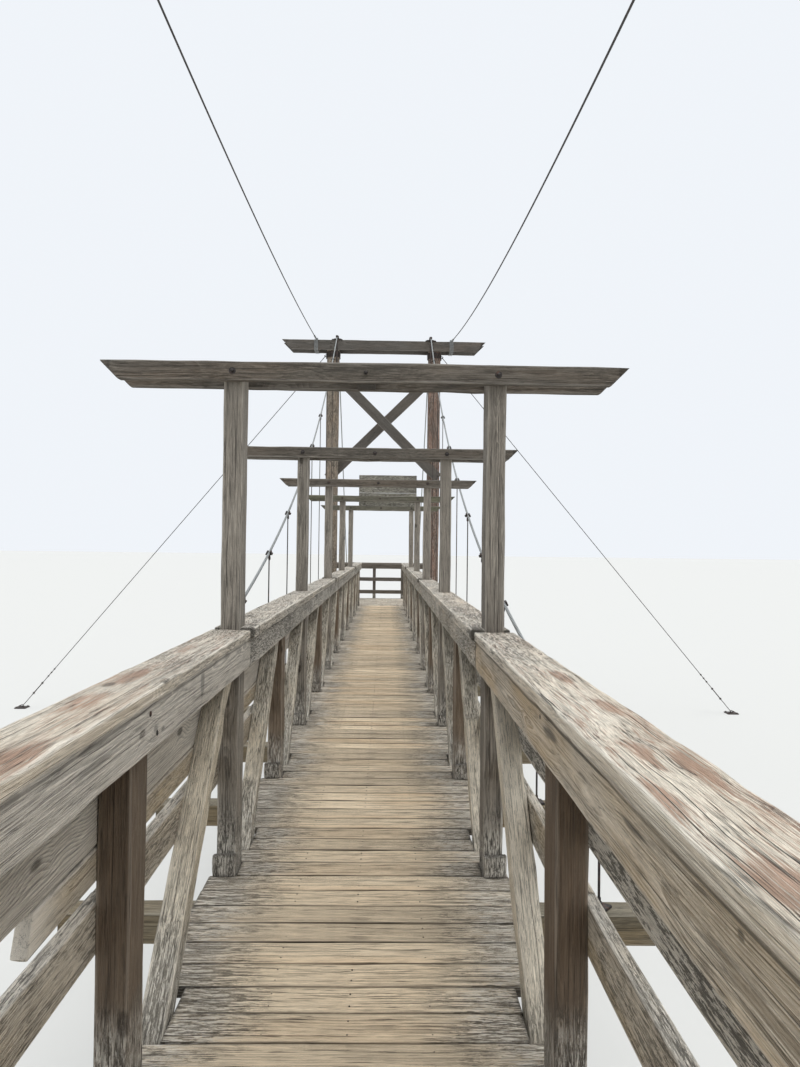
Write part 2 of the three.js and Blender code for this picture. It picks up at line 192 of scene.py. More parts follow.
# Single marks that stand out, each a centre and how far it reaches, in real metres
CAP_STAINS = (
    ((-0.55, 0.72, CAP_TOP), (0.070, 0.15, 0.05)), ((-0.63, 1.29, CAP_TOP), (0.045, 0.15, 0.05)),
    ((-0.63, 1.65, CAP_TOP), (0.035, 0.16, 0.05)), ((-0.64, 2.30, CAP_TOP), (0.030, 0.16, 0.05)),
    ((0.64, 1.72, CAP_TOP), (0.030, 0.15, 0.05)), ((0.65, 1.27, CAP_TOP), (0.022, 0.12, 0.05)),
    ((0.59, 0.84, CAP_TOP), (0.025, 0.13, 0.05)), ((0.65, 0.73, CAP_TOP), (0.030, 0.14, 0.05)),
    ((0.53, 0.56, CAP_TOP), (0.028, 0.12, 0.05)), ((0.57, 0.26, CAP_TOP), (0.040, 0.10, 0.05)),
)
CHORD_STAINS_AND_SHADOW = (
    ((-0.53, 2.09, CAP_UNDER - 0.05), (0.06, 0.035, 0.07)), ((-0.53, 1.545, 3.392), (0.06, 0.024, 0.013)),
    ((-0.53, 1.61, 3.376), (0.06, 0.020, 0.010)), ((0.53, 0.276, 3.446), (0.06, 0.012, 0.010)),
    ((-0.53, 1.08, CAP_UNDER - 0.06), (0.06, 0.12, 0.012)),
    ((0.53, 0.68, CAP_UNDER - 0.05), (0.06, 0.09, 0.010)),
    ((0.53, 1.36, CAP_UNDER - 0.05), (0.06, 0.10, 0.018)),
    # A long thin dark line on each inner chord just under the cap: painted shadow of the cap's overhang
    *(((x, 0.0, CAP_UNDER - 0.0155), (0.06, 60.0, 0.005)) for x in (-0.53, 0.53)),
)

SIDES = (("left", -1), ("right", 1))
ENDS = (("near", -1), ("far", 1))
BOTH = (-1, 1)

# Panel points count from midspan, and every second one carries a portal
PANEL_POINTS = range(-TRUSS_PANELS, TRUSS_PANELS + 1)
PORTAL_POINTS = range(-PORTAL_PANELS, PORTAL_PANELS + 1, 2)
PLAIN_POINTS = [k for k in PANEL_POINTS if k not in PORTAL_POINTS]


def linear(text):
    """A colour written as six hexadecimal digits, as Blender's linear red, green and blue."""
    parts = [int(text[i:i + 2], 16) / 255 for i in (0, 2, 4)]
    return tuple(c / 12.92 if c <= 0.04045 else ((c + 0.055) / 1.055) ** 2.4 for c in parts)


def colour(name, description, text):
    return bpy.props.FloatVectorProperty(
        name=name, description=description, subtype="COLOR", min=0.0, max=1.0, default=linear(text)
    )


def distance(name, description, value):
    return bpy.props.FloatProperty(
        name=name, description=description, subtype="DISTANCE", unit="LENGTH", min=0.0, default=value
    )


class FootbridgeSizes(bpy.types.PropertyGroup):
    """Sizes of the real bridge that the frame leaves open."""

    edge_wear: distance("Edge wear", "How far the edges of boards are rounded", 0.0045)
    deck_board: distance("Deck board", "Width of a deck board", 0.1483)
    stray: distance("Stray", "How far a board lies out of line", 0.0018)
    cap_rise: distance("Cap rise", "How much thicker every other cap board is", 0.011)
    bolt_head: distance("Bolt head", "Width of a bolt's washer", 0.035)
    nail_head: distance("Nail head", "Width of a nail's head", 0.0055)
    rope_lay: distance("Rope lay", "Length of one turn of a cable's strands", 0.160)


class FootbridgeColours(bpy.types.PropertyGroup):
    """Colours of the timber, the steel and what has settled on them."""

    cap: colour("Cap", "Bleached cap boards", "f1e9d9")
    chord: colour("Chord", "Upper and lower chords and rails", "efe7d9")
    post: colour("Portal post", "Posts and beams above the railing", "aca498")
    web: colour("Truss post", "Plain posts of the trusses", "a08f7c")
    diagonal: colour("Diagonal", "Diagonals of the trusses", "f6ebd6")
    deck: colour("Deck", "Deck boards", "f6e2c3")
    floor: colour("Floor beam", "Beams and joists under the deck", "a39b88")
    tower: colour("Tower timber", "Beams and braces of the towers", "6c6863")
    pole: colour("Pole", "Grey-brown tower poles", "b3a08a")
    red_pole: colour("Red pole", "Reddish tower poles", "9c5a34")
    stain: colour("Old stain", "What is left of the cap boards' stain", "95603f")
    mould: colour("Mould", "Dark growth on damp timber", "403e38")
    steel: colour("Galvanised steel", "Main cables", "a3a6a5")
    dark_steel: colour("Dark steel", "Bolts, clamps, hangers and guys", "4a4644")
    concrete: colour("Concrete", "Anchor blocks", "a8a49a")
    sign: colour("Sign", "Blank sign boards", "4a473f")


class FootbridgeStage(bpy.types.PropertyGroup):
    """The plain floor and the soft light."""

    floor_colour: colour("Floor", "The pale floor", "c6c6c3")
    sky_colour: colour("Surround", "The pale surround", "dfe3e8")
    sky_strength: bpy.props.FloatProperty(
        name="Surround strength", description="How bright the surround is", min=0.0, default=1.18
    )
    lamp_strength: bpy.props.FloatProperty(
        name="Lamp strength", description="Strength of the soft lamp overhead", min=0.0, default=2.1
    )


class Value:
    """A node's output, with arithmetic that adds nodes to its tree."""

    def __init__(self, graph, socket):
        self.graph = graph
        self.socket = socket

    def __add__(self, other):
        return self.graph.math("ADD", self, other)

    def __sub__(self, other):
        return self.graph.math("SUBTRACT", self, other)

    def __mul__(self, other):
        return self.graph.math("MULTIPLY", self, other)

    def __truediv__(self, other):
        return self.graph.math("DIVIDE", self, other)


class Graph:
    """A short way to add nodes to a tree and to link them."""

    def __init__(self, tree):
        self.tree = tree

    def plug(self, socket, value):
        if isinstance(value, Value):
            self.tree.links.new(value.socket, socket)
        else:
            socket.default_value = value

    def node(self, kind, inputs=None, **settings):
        made = self.tree.nodes.new(kind)
        for name, value in settings.items():
            setattr(made, name, value)
        for key, value in (inputs or {}).items():
            self.plug(made.inputs[key], value)
        return made

    def add(self, kind, inputs=None, output=0, **settings):
        """One output of a new node."""
        return Value(self, self.node(kind, inputs, **settings).outputs[output])

    def given(self):
        """The tree's own inputs by name."""
        return {socket.name: Value(self, socket) for socket in self.node("NodeGroupInput").outputs}

    def math(self, operation, *values):
        """Arithmetic on numbers, or on vectors where one of the values is a vector."""
        types = [v.socket.type if isinstance(v, Value) else type(v) for v in values]
        kind = "ShaderNodeVectorMath" if "VECTOR" in types or tuple in types else "ShaderNodeMath"
        return self.add(kind, dict(enumerate(values)), operation=operation)

    def length(self, value):
        return self.add("ShaderNodeVectorMath", {0: value}, "Value", operation="LENGTH")

    def parts(self, value):
        return [Value(self, s) for s in self.node("ShaderNodeSeparateXYZ", {"Vector": value}).outputs]

    def joined(self, x, y=0.0, z=0.0):
        return self.add("ShaderNodeCombineXYZ", {0: x, 1: y, 2: z})

    def clamp(self, value):
        return self.add("ShaderNodeClamp", {0: value})

    def noise(self, point, scale=1.0, detail=2.0, roughness=0.5):
        inputs = {"Vector": point, "Scale": scale, "Detail": detail, "Roughness": roughness}
        return self.add("ShaderNodeTexNoise", inputs)

    def ease(self, value, low, high, start=0.0, stop=1.0):
        """A smooth step of value from low to high, mapped to start and stop."""
        inputs = {"Value": value, "From Min": low, "From Max": high, "To Min": start, "To Max": stop}
        return self.add("ShaderNodeMapRange", inputs, interpolation_type="SMOOTHSTEP")

    def mix(self, factor, first, second):
        return self.add("ShaderNodeMix", {0: factor, 6: first, 7: second}, 2, data_type="RGBA")

    def attribute(self, name, output="Fac"):
        return self.add("ShaderNodeAttribute", None, output, attribute_name=name)

    def place(self):
        return self.add("ShaderNodeTexCoord", None, "Object")

    def coat(self, shader, base, roughness, height, depth, strength, metallic=0.0):
        """Gives a shader its colour, its roughness and its relief."""
        relief = self.add("ShaderNodeBump", {"Height": height, "Distance": depth, "Strength": strength})
        inputs = {"Base Color": base, "Roughness": roughness, "Normal": relief, "Metallic": metallic}
        for key, value in inputs.items():
            self.plug(shader.inputs[key], value)


def opaque(rgb):
    return (*rgb, 1.0)


def shade(rgb, factor):
    """The same colour, lighter or darker by a factor."""
    return tuple(min(1.0, c * factor) for c in rgb)


# Timber reads five attributes: "grain" is a place in the board itself, across, through and along it, "span"
# the board's half width, half thickness and length, "board" a number that differs from board to board,
# "weather" is above 0 where it is grimy, which on the right outer chord is painted shade, and below 0 where
# pale, and "skyward" how far a face looks up
WOOD_COLOURS = ("Pale", "Deep", "Warm", "Grey", "Stain colour", "Mould colour")
FRESH_WOOD = (1.0, 0.94, 0.84, 1.0)
BLEACHED_WOOD = "dcd6ca"
# Painted shade for the gaps between boards, on their arrises and their side and under faces
GAP_SHADE_COLOUR = (0.030, 0.025, 0.020, 1.0)
DARK_END = (0.020, 0.018, 0.016, 1.0)
DARK_KNOT = (0.030, 0.021, 0.016, 1.0)
CHECK_SHADE_COLOUR = (0.022, 0.018, 0.015, 1.0)
WOOD_AMOUNTS = {
    "Rings": 0.8, "Streaks": 0.8, "Checks": 0.8, "Knots": 1.0, "Mould": 0.5, "Specks": 0.5, "Stain": 0.0,
    "Warmth": 0.6, "Bleach": 0.12, "Wear": 0.35, "Variety": 0.4, "Stain here": 0.0, "Dark here": 0.0,
}


def wood_group():
    """Weathered softwood: growth rings round a pith, fibres, checks, knots, mould, grime and old stain, with
    painted shade in gaps, open checks and ring furrows, painted highlights on ring ridges and painted shadow
    where marks ask for it.
    """
    tree = bpy.data.node_groups.new("Weathered wood", "ShaderNodeTree")
    sockets = [(name, "INPUT", "Color") for name in WOOD_COLOURS]
    sockets += [(name, "INPUT", "Float") for name in WOOD_AMOUNTS]
    sockets.append(("Colour", "OUTPUT", "Color"))
    sockets += [(name, "OUTPUT", "Float") for name in ("Roughness", "Height")]
    for name, way, kind in sockets:
        tree.interface.new_socket(name, in_out=way, socket_type=f"NodeSocket{kind}")
    g = Graph(tree)
    given = g.given()
    board = g.attribute("board")
    weather = g.attribute("weather")
    sky = g.math("MAXIMUM", g.attribute("skyward"), 0.0)
    lots = g.add("ShaderNodeTexWhiteNoise", {"W": board}, "Color", noise_dimensions="1D")
    lot = g.parts(lots)
    spread = lots * (57.0, 83.0, 41.0)
    grain = g.attribute("grain", "Vector")
    place = g.parts(grain)

    def field(across, along, detail=2.0, roughness=0.5, shift=0.0):
        """Noise with so many bumps a metre across the board and along it."""
        point = grain * (across, across, along) + spread
        return g.noise(point + (shift, shift, shift), 1.0, detail, roughness)

    def centred(value, amount):
        return (value - 0.5) * amount

    # How far a point is from the board's long arrises and from its ends
    margin = g.parts(g.attribute("span", "Vector") - g.math("ABSOLUTE", grain))
    to_arris = margin[0] + margin[1]
    to_end = g.math("MINIMUM", margin[2], g.math("ABSOLUTE", place[2]))

    # Knots sit in some cells of a stretched lattice, and the rings bend round them
    lattice = {"Vector": grain * (6.5, 6.5, 2.6) + spread, "Scale": 1.0}
    cell = g.node("ShaderNodeTexVoronoi", lattice).outputs
    to_knot = Value(g, cell["Distance"])
    chosen = g.parts(Value(g, cell["Color"]))[0]
    has_knot = g.math("GREATER_THAN", chosen, 0.5) * given["Knots"]
    core = g.ease(to_knot, 0.12, 0.07) * has_knot
    swirl = g.ease(to_knot, 0.45, 0.05, 0.0, 0.018) * has_knot

    # Rings about a pith line outside the board, wandering along it
    wander = centred(field(2.6, 0.75, 1.0), 0.060)
    waver = centred(field(14.0, 2.4, 1.0, 0.5, 7.0), 0.0085)
    across = place[0] - centred(lot[0], 0.13) + wander
    through = place[1] + lot[1] * 0.10 + 0.02
    radius = g.length(g.joined(across, through)) + waver + swirl
    phase = g.math("FRACT", radius / (lot[2] * 0.0026 + 0.0034))
    # The rings' banding is grain; the pale ridge is also a painted highlight and the dark furrow beside it
    # partly painted shade of that relief
    furrow = g.ease(phase, 0.10, 0.66) * g.ease(phase, 0.84, 0.72)
    ridge_highlight = g.ease(phase, 0.78, 0.88) * g.ease(phase, 1.0, 0.94)
    ring_fade = g.ease(field(5.0, 0.9, 1.0, 0.5, 3.0), 0.25, 0.65, 0.35, 1.0)
    rings = (ridge_highlight * 0.55 - furrow * 0.72) * ring_fade * given["Rings"]

    # Fibres, streaks and furrows all run along the board
    fibre = g.ease(field(420.0, 5.0, 2.0, 0.65), 0.36, 0.64)
    streak = g.ease(field(240.0, 2.0, 3.0, 0.66, 11.0), 0.34, 0.66)
    broad = field(15.0, 1.7, 2.0, 0.5, 13.0)
    line = g.math("ABSOLUTE", field(110.0, 2.0, 2.0, 0.6, 23.0) - 0.5)
    fine_check = g.ease(line, 0.032, 0.008, 0.0, 0.75) * g.ease(field(60.0, 5.0, 1.0, 0.5, 29.0), 0.44, 0.60)

    # Long straight checks lie in some of the lanes side by side across the board
    lane = (place[0] + place[1]) * 62.0 + centred(field(1.2, 0.7, 1.0, 0.5, 19.0), 1.6)
    off = g.math("ABSOLUTE", g.math("FRACT", lane) - 0.5)
    run = g.joined(g.math("FLOOR", lane) * 3.7, place[2] * 1.3, board * 50.0)
    opened = g.ease(g.noise(run, 1.0, 1.0), 0.53, 0.60)
    check = g.ease(off, opened * 0.05 + 0.03, 0.025) * opened
    check = g.math("MAXIMUM", check, fine_check) * given["Checks"]

    tone = rings + 0.80 + (centred(streak, 0.90) + centred(fibre, 0.66)) * given["Streaks"]
    tone = tone + centred(broad, 0.6) + centred(lot[2], 0.7) * given["Variety"] + sky * given["Bleach"]
    base = g.mix(g.clamp(tone), given["Deep"], given["Pale"])
    patch = g.ease(field(4.5, 1.0, 2.0, 0.5, 37.0), 0.42, 0.62) * (lot[1] + 0.3)
    warmth = (patch + g.ease(sky, 0.5, 0.0, 0.0, 0.42)) * given["Warmth"]
    base = g.mix(g.clamp(warmth), base, g.mix(0.55, base, given["Warm"]))

    # What has been left on the surface: old stain on top, mould in streaky patches, specks along the fibres.
    # Dark here adds single dark marks to the mould, among them a painted shadow line under the caps.
    broken = centred(fibre, 0.30) + centred(streak, 0.36)
    blot = field(8.0, 1.9, 3.0, 0.6, 43.0) + broken + given["Stain here"] * 0.29
    stain = g.ease(blot, 0.56, 0.74) * given["Stain"] * g.ease(sky, 0.5, 0.9)
    base = g.mix(g.clamp(stain), base, g.mix(0.25, given["Stain colour"], base))
    patchy = field(11.0, 1.9, 4.0, 0.68, 53.0) + broken + given["Dark here"] * 0.32
    mould = g.ease(patchy, 0.52, 0.72) * g.math("MAXIMUM", given["Mould"], given["Dark here"])
    speck = g.ease(field(230.0, 22.0, 2.0, 0.6, 71.0), 0.53, 0.59) * given["Specks"]
    mould = g.math("MAXIMUM", mould, speck * g.ease(patchy, 0.36, 0.56, 0.25, 1.0))

    # Grime and bleached fibres share one ragged field, so that they lie side by side. Where weather stands
    # for shade, as on the right outer chord, this grime is painted shade.
    damp = g.math("MAXIMUM", weather, 0.0)
    ragged = g.ease(field(190.0, 20.0, 3.0, 0.76, 61.0), 0.42, 0.58)
    soaked = damp + centred(ragged, 1.3) + centred(field(9.0, 3.2, 2.0, 0.5, 67.0), 3.4)
    grime_and_shade = g.ease(soaked, 0.42, 0.64) * g.ease(damp, 0.0, 0.15)
    base = g.mix(g.ease(damp, 0.0, 0.5) * 0.55, base, g.mix(0.5, base, given["Grey"]))
    bleached = g.ease(ragged, 0.50, 0.15) * g.ease(damp, 0.05, 0.40) * 0.85
    base = g.mix(bleached, base, opaque(linear(BLEACHED_WOOD)))
    # Mould and grime darken the colour; through Dark here and weather they also carry painted shadow and
    # painted shade
    dirt_and_shade = g.clamp(g.math("MAXIMUM", mould * 0.88, grime_and_shade * 0.96))
    base = g.mix(dirt_and_shade, base, g.mix(0.18, given["Mould colour"], base))

    # Arrises worn pale, or, where Wear is negative, darkened with painted shade on the arrises and on side
    # and under faces, as in the gaps between deck boards; then dark ends, knots and open checks, whose dark
    # is painted shade in the cracks
    worn = g.ease(to_arris + centred(streak, 0.004), 0.011, 0.002)
    fresh = g.math("MAXIMUM", g.ease(weather, 0.0, -1.0) * 0.8, worn * given["Wear"])
    base = g.mix(g.clamp(fresh), base, g.mix(0.35, given["Pale"], FRESH_WOOD))
    # Painted shade: where Wear is negative, as on the deck, arrises and faces that do not look up go dark, so
    # the gaps read dark
    gap_shade = g.math("MAXIMUM", g.ease(to_arris, 0.008, 0.0025), g.ease(sky, 0.6, 0.2))
    gap_shade = gap_shade * g.math("MAXIMUM", given["Wear"] * -1.0, 0.0)
    base = g.mix(g.clamp(gap_shade), base, GAP_SHADE_COLOUR)
    tip = g.ease(to_end + centred(fibre, 0.012), 0.014, 0.0) * g.ease(weather, -0.2, 0.0) * 0.8
    base = g.mix(tip, base, g.mix(0.35, DARK_END, base))
    base = g.mix(core * 0.85, base, g.mix(0.25, DARK_KNOT, given["Deep"]))
    # Open checks are painted near black: painted shade in the cracks
    base = g.mix(g.clamp(check * 0.9), base, CHECK_SHADE_COLOUR)

    height = (ridge_highlight - furrow) * 0.30 + fibre * 0.45 + streak * 0.55 - check * 1.9
    g.node("NodeGroupOutput", {"Colour": base, "Roughness": fibre * 0.18 + 0.74, "Height": height})
    return tree


def new_material(name):
    material = bpy.data.materials.new(name)
    material.use_nodes = True
    return material, Graph(material.node_tree), material.node_tree.nodes["Principled BSDF"]


def marks(g, places):
    """How near a point is to the places of single marks, each a centre and its reach, in real metres."""
    here = g.place() * ((1 / MODEL_SCALE,) * 3)
    nearest = None
    for centre, reach in places:
        far = g.length((here - centre) * tuple(1 / r for r in reach))
        nearest = far if nearest is None else g.math("MINIMUM", nearest, far)
    return g.ease(nearest, 1.25, 0.45)


def timber(title, tint, light, deep, warm, bump=0.0011, stained=(), darkened=(), upright=1.0, **amounts):
    """A timber finish: its tint and how light that is, how dark its grain is, and what has weathered it. Its
    darkened marks can also be painted shadow.
    """
    colours = bpy.context.scene.footbridge_colours
    material, g, shader = new_material(title)
    pale = shade(getattr(colours, tint), light)
    inputs = {
        "Pale": opaque(pale), "Deep": opaque(shade(pale, deep)), "Warm": opaque(linear(warm)),
        "Grey": opaque(linear("b9b4aa")), "Stain colour": opaque(colours.stain),
        "Mould colour": opaque(colours.mould), **WOOD_AMOUNTS,
    }
    inputs.update({key.capitalize(): value for key, value in amounts.items()})
    for key, places in (("Stain here", stained), ("Dark here", darkened)):
        if places:
            inputs[key] = marks(g, places)
    if upright < 1.0:
        kept = g.ease(g.attribute("skyward"), 0.0, 0.8, upright, 1.0)
        for key in ("Streaks", "Checks", "Mould", "Specks"):
            inputs[key] = kept * inputs[key]
    tree = bpy.data.node_groups.get("Weathered wood") or wood_group()
    wood = g.node("ShaderNodeGroup", inputs, node_tree=tree)
    g.coat(shader, *(Value(g, socket) for socket in wood.outputs), bump, 1.0)
    shader.inputs["Specular IOR Level"].default_value = 0.25
    return material


def metal(title, rgb, roughness, rust):
    """Weathered steel: dull, blotched and rusty in places."""
    material, g, shader = new_material(title)
    blotch = g.noise(g.place(), 60.0, 4.0, 0.6)
    fine = g.noise(g.place(), 420.0, 2.0)
    base = g.mix(g.ease(blotch, 0.35, 0.7), opaque(shade(rgb, 0.7)), opaque(shade(rgb, 1.2)))
    base = g.mix(g.ease(fine * 0.3 + blotch, 0.66, 0.82) * rust, base, opaque(linear("6b4430")))
    g.coat(shader, base, fine * 0.25 + (roughness - 0.12), fine, 0.0004, 0.5, 0.75)
    return material


def wire_rope(title, rgb, lay):
    """Stranded wire: "around" and "along" say where on the rope a point is, and the strands wind round it."""
    material, g, shader = new_material(title)
    along = g.attribute("along") / (lay * MODEL_SCALE)
    turn = g.math("FRACT", g.attribute("around") * STRANDS + along)
    crown = g.math("SINE", turn * math.pi)
    wires = g.math("FRACT", along * -9.0 + turn * 5.0)
    blotch = g.noise(g.place(), 9.0, 3.0)
    # Painted shade: the wire is dark between the strands' crowns, where the grooves lie
    base = g.mix(g.ease(crown, 0.1, 0.75), opaque(shade(rgb, 0.28)), opaque(rgb))
    base = g.mix(g.ease(blotch, 0.5, 0.7, 0.0, 0.5), base, g.mix(0.5, base, opaque(linear("5d4f45"))))
    g.coat(shader, base, 0.52, g.math("SINE", wires * math.pi) * 0.25 + crown, 0.0022, 0.9, 0.55)
    return material


def cast_concrete(title, rgb):
    """Board-marked concrete with pores, stains and a green foot."""
    material, g, shader = new_material(title)
    place = g.place()
    height = g.parts(place)[2]
    cloud = g.noise(place, 5.0, 5.0, 0.6)
    pores = g.add("ShaderNodeTexVoronoi", {"Vector": place, "Scale": 70.0}, "Distance")
    pore = g.ease(pores, 0.22, 0.12)
    seam = g.ease(g.math("ABSOLUTE", g.math("FRACT", height / 0.075) - 0.5), 0.47, 0.5)
    base = g.mix(g.ease(cloud, 0.3, 0.7), opaque(shade(rgb, 0.72)), opaque(shade(rgb, 1.08)))
    # Dark board-mark seams, and pores darkened with painted shade inside them
    base = g.mix(g.math("MAXIMUM", seam * 0.4, pore * 0.35), base, opaque(shade(rgb, 0.35)))
    base = g.mix(g.ease(cloud * -0.12 + height, 0.06, -0.04) * 0.75, base, opaque(linear("56594a")))
    g.coat(shader, base, 0.92, cloud * 0.6 - (pore + seam), 0.002, 0.6)
    return material


# Each timber's title, tint, how light that is, how dark its grain is, its warm colour and its own amounts
WOODS = {
    "cap": ("Bleached cap", "cap", 1.0, 0.30, "c6a06c", dict(
        bump=0.0014, stained=CAP_STAINS, upright=0.4, rings=0.4, streaks=1.0, checks=1.2, mould=0.3,
        specks=0.4, stain=0.9, wear=0.7)),
    "left_chord": ("Left chord timber", "chord", 1.0, 0.35, "8f8781", dict(
        darkened=CHORD_STAINS_AND_SHADOW, rings=1.35, streaks=0.9, mould=0.15, specks=0.4, warmth=0.45, bleach=0.3,
        wear=0.4)),
    "right_chord": ("Right chord timber", "chord", 1.0, 0.32, "c2a06a", dict(
        darkened=CHORD_STAINS_AND_SHADOW, rings=0.95, streaks=0.5, mould=0.12, specks=0.25, warmth=0.95, wear=0.4)),
    "outer_chord": ("Outer chord timber", "chord", 0.95, 0.42, "8f867c", dict(
        rings=0.9, streaks=0.7, mould=0.05, specks=0.2, warmth=0.35, checks=0.3, variety=0.1)),
    "rail": ("Mid rail timber", "chord", 0.96, 0.36, "bc9f6a", dict(rings=0.5, specks=0.9, warmth=0.9)),
    "post": ("Portal timber", "post", 1.0, 0.28, "8d7c6c", dict(
        rings=0.5, streaks=1.1, warmth=0.15, checks=0.9)),
    # The portal beams take the post's tint at 0.45 light: a darker copy of the post timber, painted shade for
    # their dark undersides; the landings' end rails share it
    "portal_beam": ("Portal beam timber", "post", 0.45, 0.20, "8a7560", dict(
        streaks=1.35, mould=0.7, warmth=0.4)),
    "mossy_beam": ("Mossy portal timber", "post", 0.46, 0.35, "6a6b48", dict(
        rings=0.6, streaks=0.9, mould=0.9, warmth=1.0)),
    "web": ("Truss post timber", "web", 1.0, 0.26, "66513e", dict(
        rings=0.5, streaks=0.85, mould=0.75, specks=0.6, warmth=0.8, variety=0.6)),
    "diagonal": ("Diagonal timber", "diagonal", 1.0, 0.44, "cfbe9f", dict(
        rings=0.35, streaks=1.05, mould=0.6, specks=1.25, warmth=0.45, checks=1.0, variety=0.1)),
    # The deck's negative wear paints shade on its boards' arrises and side and under faces, for the gaps
    # between them
    "deck": ("Deck timber", "deck", 1.0, 0.38, "d0a674", dict(
        rings=0.35, streaks=0.9, mould=0.35, specks=0.45, knots=0.5, checks=1.2, bleach=0.16, wear=-0.65,
        variety=1.2)),
    "floor": ("Floor timber", "floor", 0.80, 0.28, "8d7650", dict(
        rings=0.5, mould=0.9, warmth=1.0, bleach=0.3)),
    "tower": ("Tower timber", "tower", 1.0, 0.30, "7b6a59", dict(rings=0.5, mould=0.7, warmth=0.3)),
    "pole": ("Grey-brown pole", "pole", 1.0, 0.34, "8a6a4a", dict(
        bump=0.002, rings=0.0, streaks=1.1, checks=1.3, knots=0.6, mould=0.6, warmth=0.7, wear=0.0)),
    "red_pole": ("Red-brown pole", "red_pole", 1.0, 0.16, "7a4426", dict(
        bump=0.0025, rings=0.0, streaks=1.5, checks=1.4, mould=0.9, specks=0.8, knots=0.5, warmth=0.8,
        wear=0.0)),
    "sign": ("Sign timber", "sign", 1.0, 0.40, "6c6a48", dict(rings=0.3, mould=1.0, specks=0.8, warmth=0.9)),
}
FINISHES = {}


def finish(name):
    """The named material, made the first time that it is asked for."""
    if name not in FINISHES:
        c = bpy.context.scene.footbridge_colours
        lay = bpy.context.scene.footbridge_sizes.rope_lay
        if name in WOODS:
            *given, amounts = WOODS[name]
            FINISHES[name] = timber(*given, **amounts)
        else:
            maker, *given = {
                "steel": (metal, "Dull galvanised steel", c.steel, 0.5, 0.2),
                "dark_steel": (metal, "Dark steel", c.dark_steel, 0.6, 0.5),
                "cable": (wire_rope, "Galvanised wire rope", c.steel, lay),
                "dark_cable": (wire_rope, "Dark wire rope", c.dark_steel, lay * 0.6),
                "concrete": (cast_concrete, "Cast concrete", c.concrete),
            }[name]
            FINISHES[name] = maker(*given)
    return FINISHES[name]


def add_object(name, mesh):
    made = bpy.data.objects.new(name, mesh)
    bpy.context.scene.collection.objects.link(made)
    return made


def store(mesh, name, values, domain="POINT"):
    """Keeps a number or a vector for each point or face of a mesh as a named attribute."""
    values = np.asarray(values, np.float32)
    kind, field = ("FLOAT_VECTOR", "vector") if values.ndim > 1 else ("FLOAT", "value")
    layer = mesh.attributes.get(name) or mesh.attributes.new(name, kind, domain)
    layer.data.foreach_set(field, values.ravel())


def note_skyward(mesh):
    """Stores on each face how far it looks up, from -1 to 1."""
    normals = np.zeros(len(mesh.polygons) * 3, np.float32)
    mesh.polygons.foreach_get("normal", normals)
    store(mesh, "skyward", normals[2::3], "FACE")


def settle(piece, slot, *nodes):
    """The last step of every piece: it rides on the bridge and stands for its nodes. Its slot is not used."""
    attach(piece, "root")
    if nodes:
        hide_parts(*nodes)
    return piece


def loft(rows, columns, first=0):
    """Faces of a closed tube: so many rows of points, each once round it, and its two ends."""
    faces = []
    for row in range(first, first + (rows - 1) * columns, columns):
        for j in range(columns):
            a, b = row + j, row + (j + 1) % columns
            faces.append((a, b, b + columns, a + columns))
    last = first + (rows - 1) * columns
    return faces + [tuple(range(first + columns - 1, first - 1, -1)), tuple(range(last, last + columns))]


def worn_section(width, thickness, wear):
    """A rectangle with rounded corners, as points across and through, with one in the middle of each side."""
    points = []
    corners = ((1, 1), (-1, 1), (-1, -1), (1, -1))
    for turn, (sign_x, sign_y) in enumerate(corners):
        middle = (sign_x * (width / 2 - wear), sign_y * (thickness / 2 - wear))
        for step in range(3):
            angle = (turn + step / 2) * math.pi / 2
            points.append((middle[0] + wear * math.cos(angle), middle[1] + wear * math.sin(angle)))
        points.append((sign_x * width / 2, 0.0) if turn % 2 else (0.0, sign_y * thickness / 2))
    return np.array(points)


CORNER_POINTS = 4


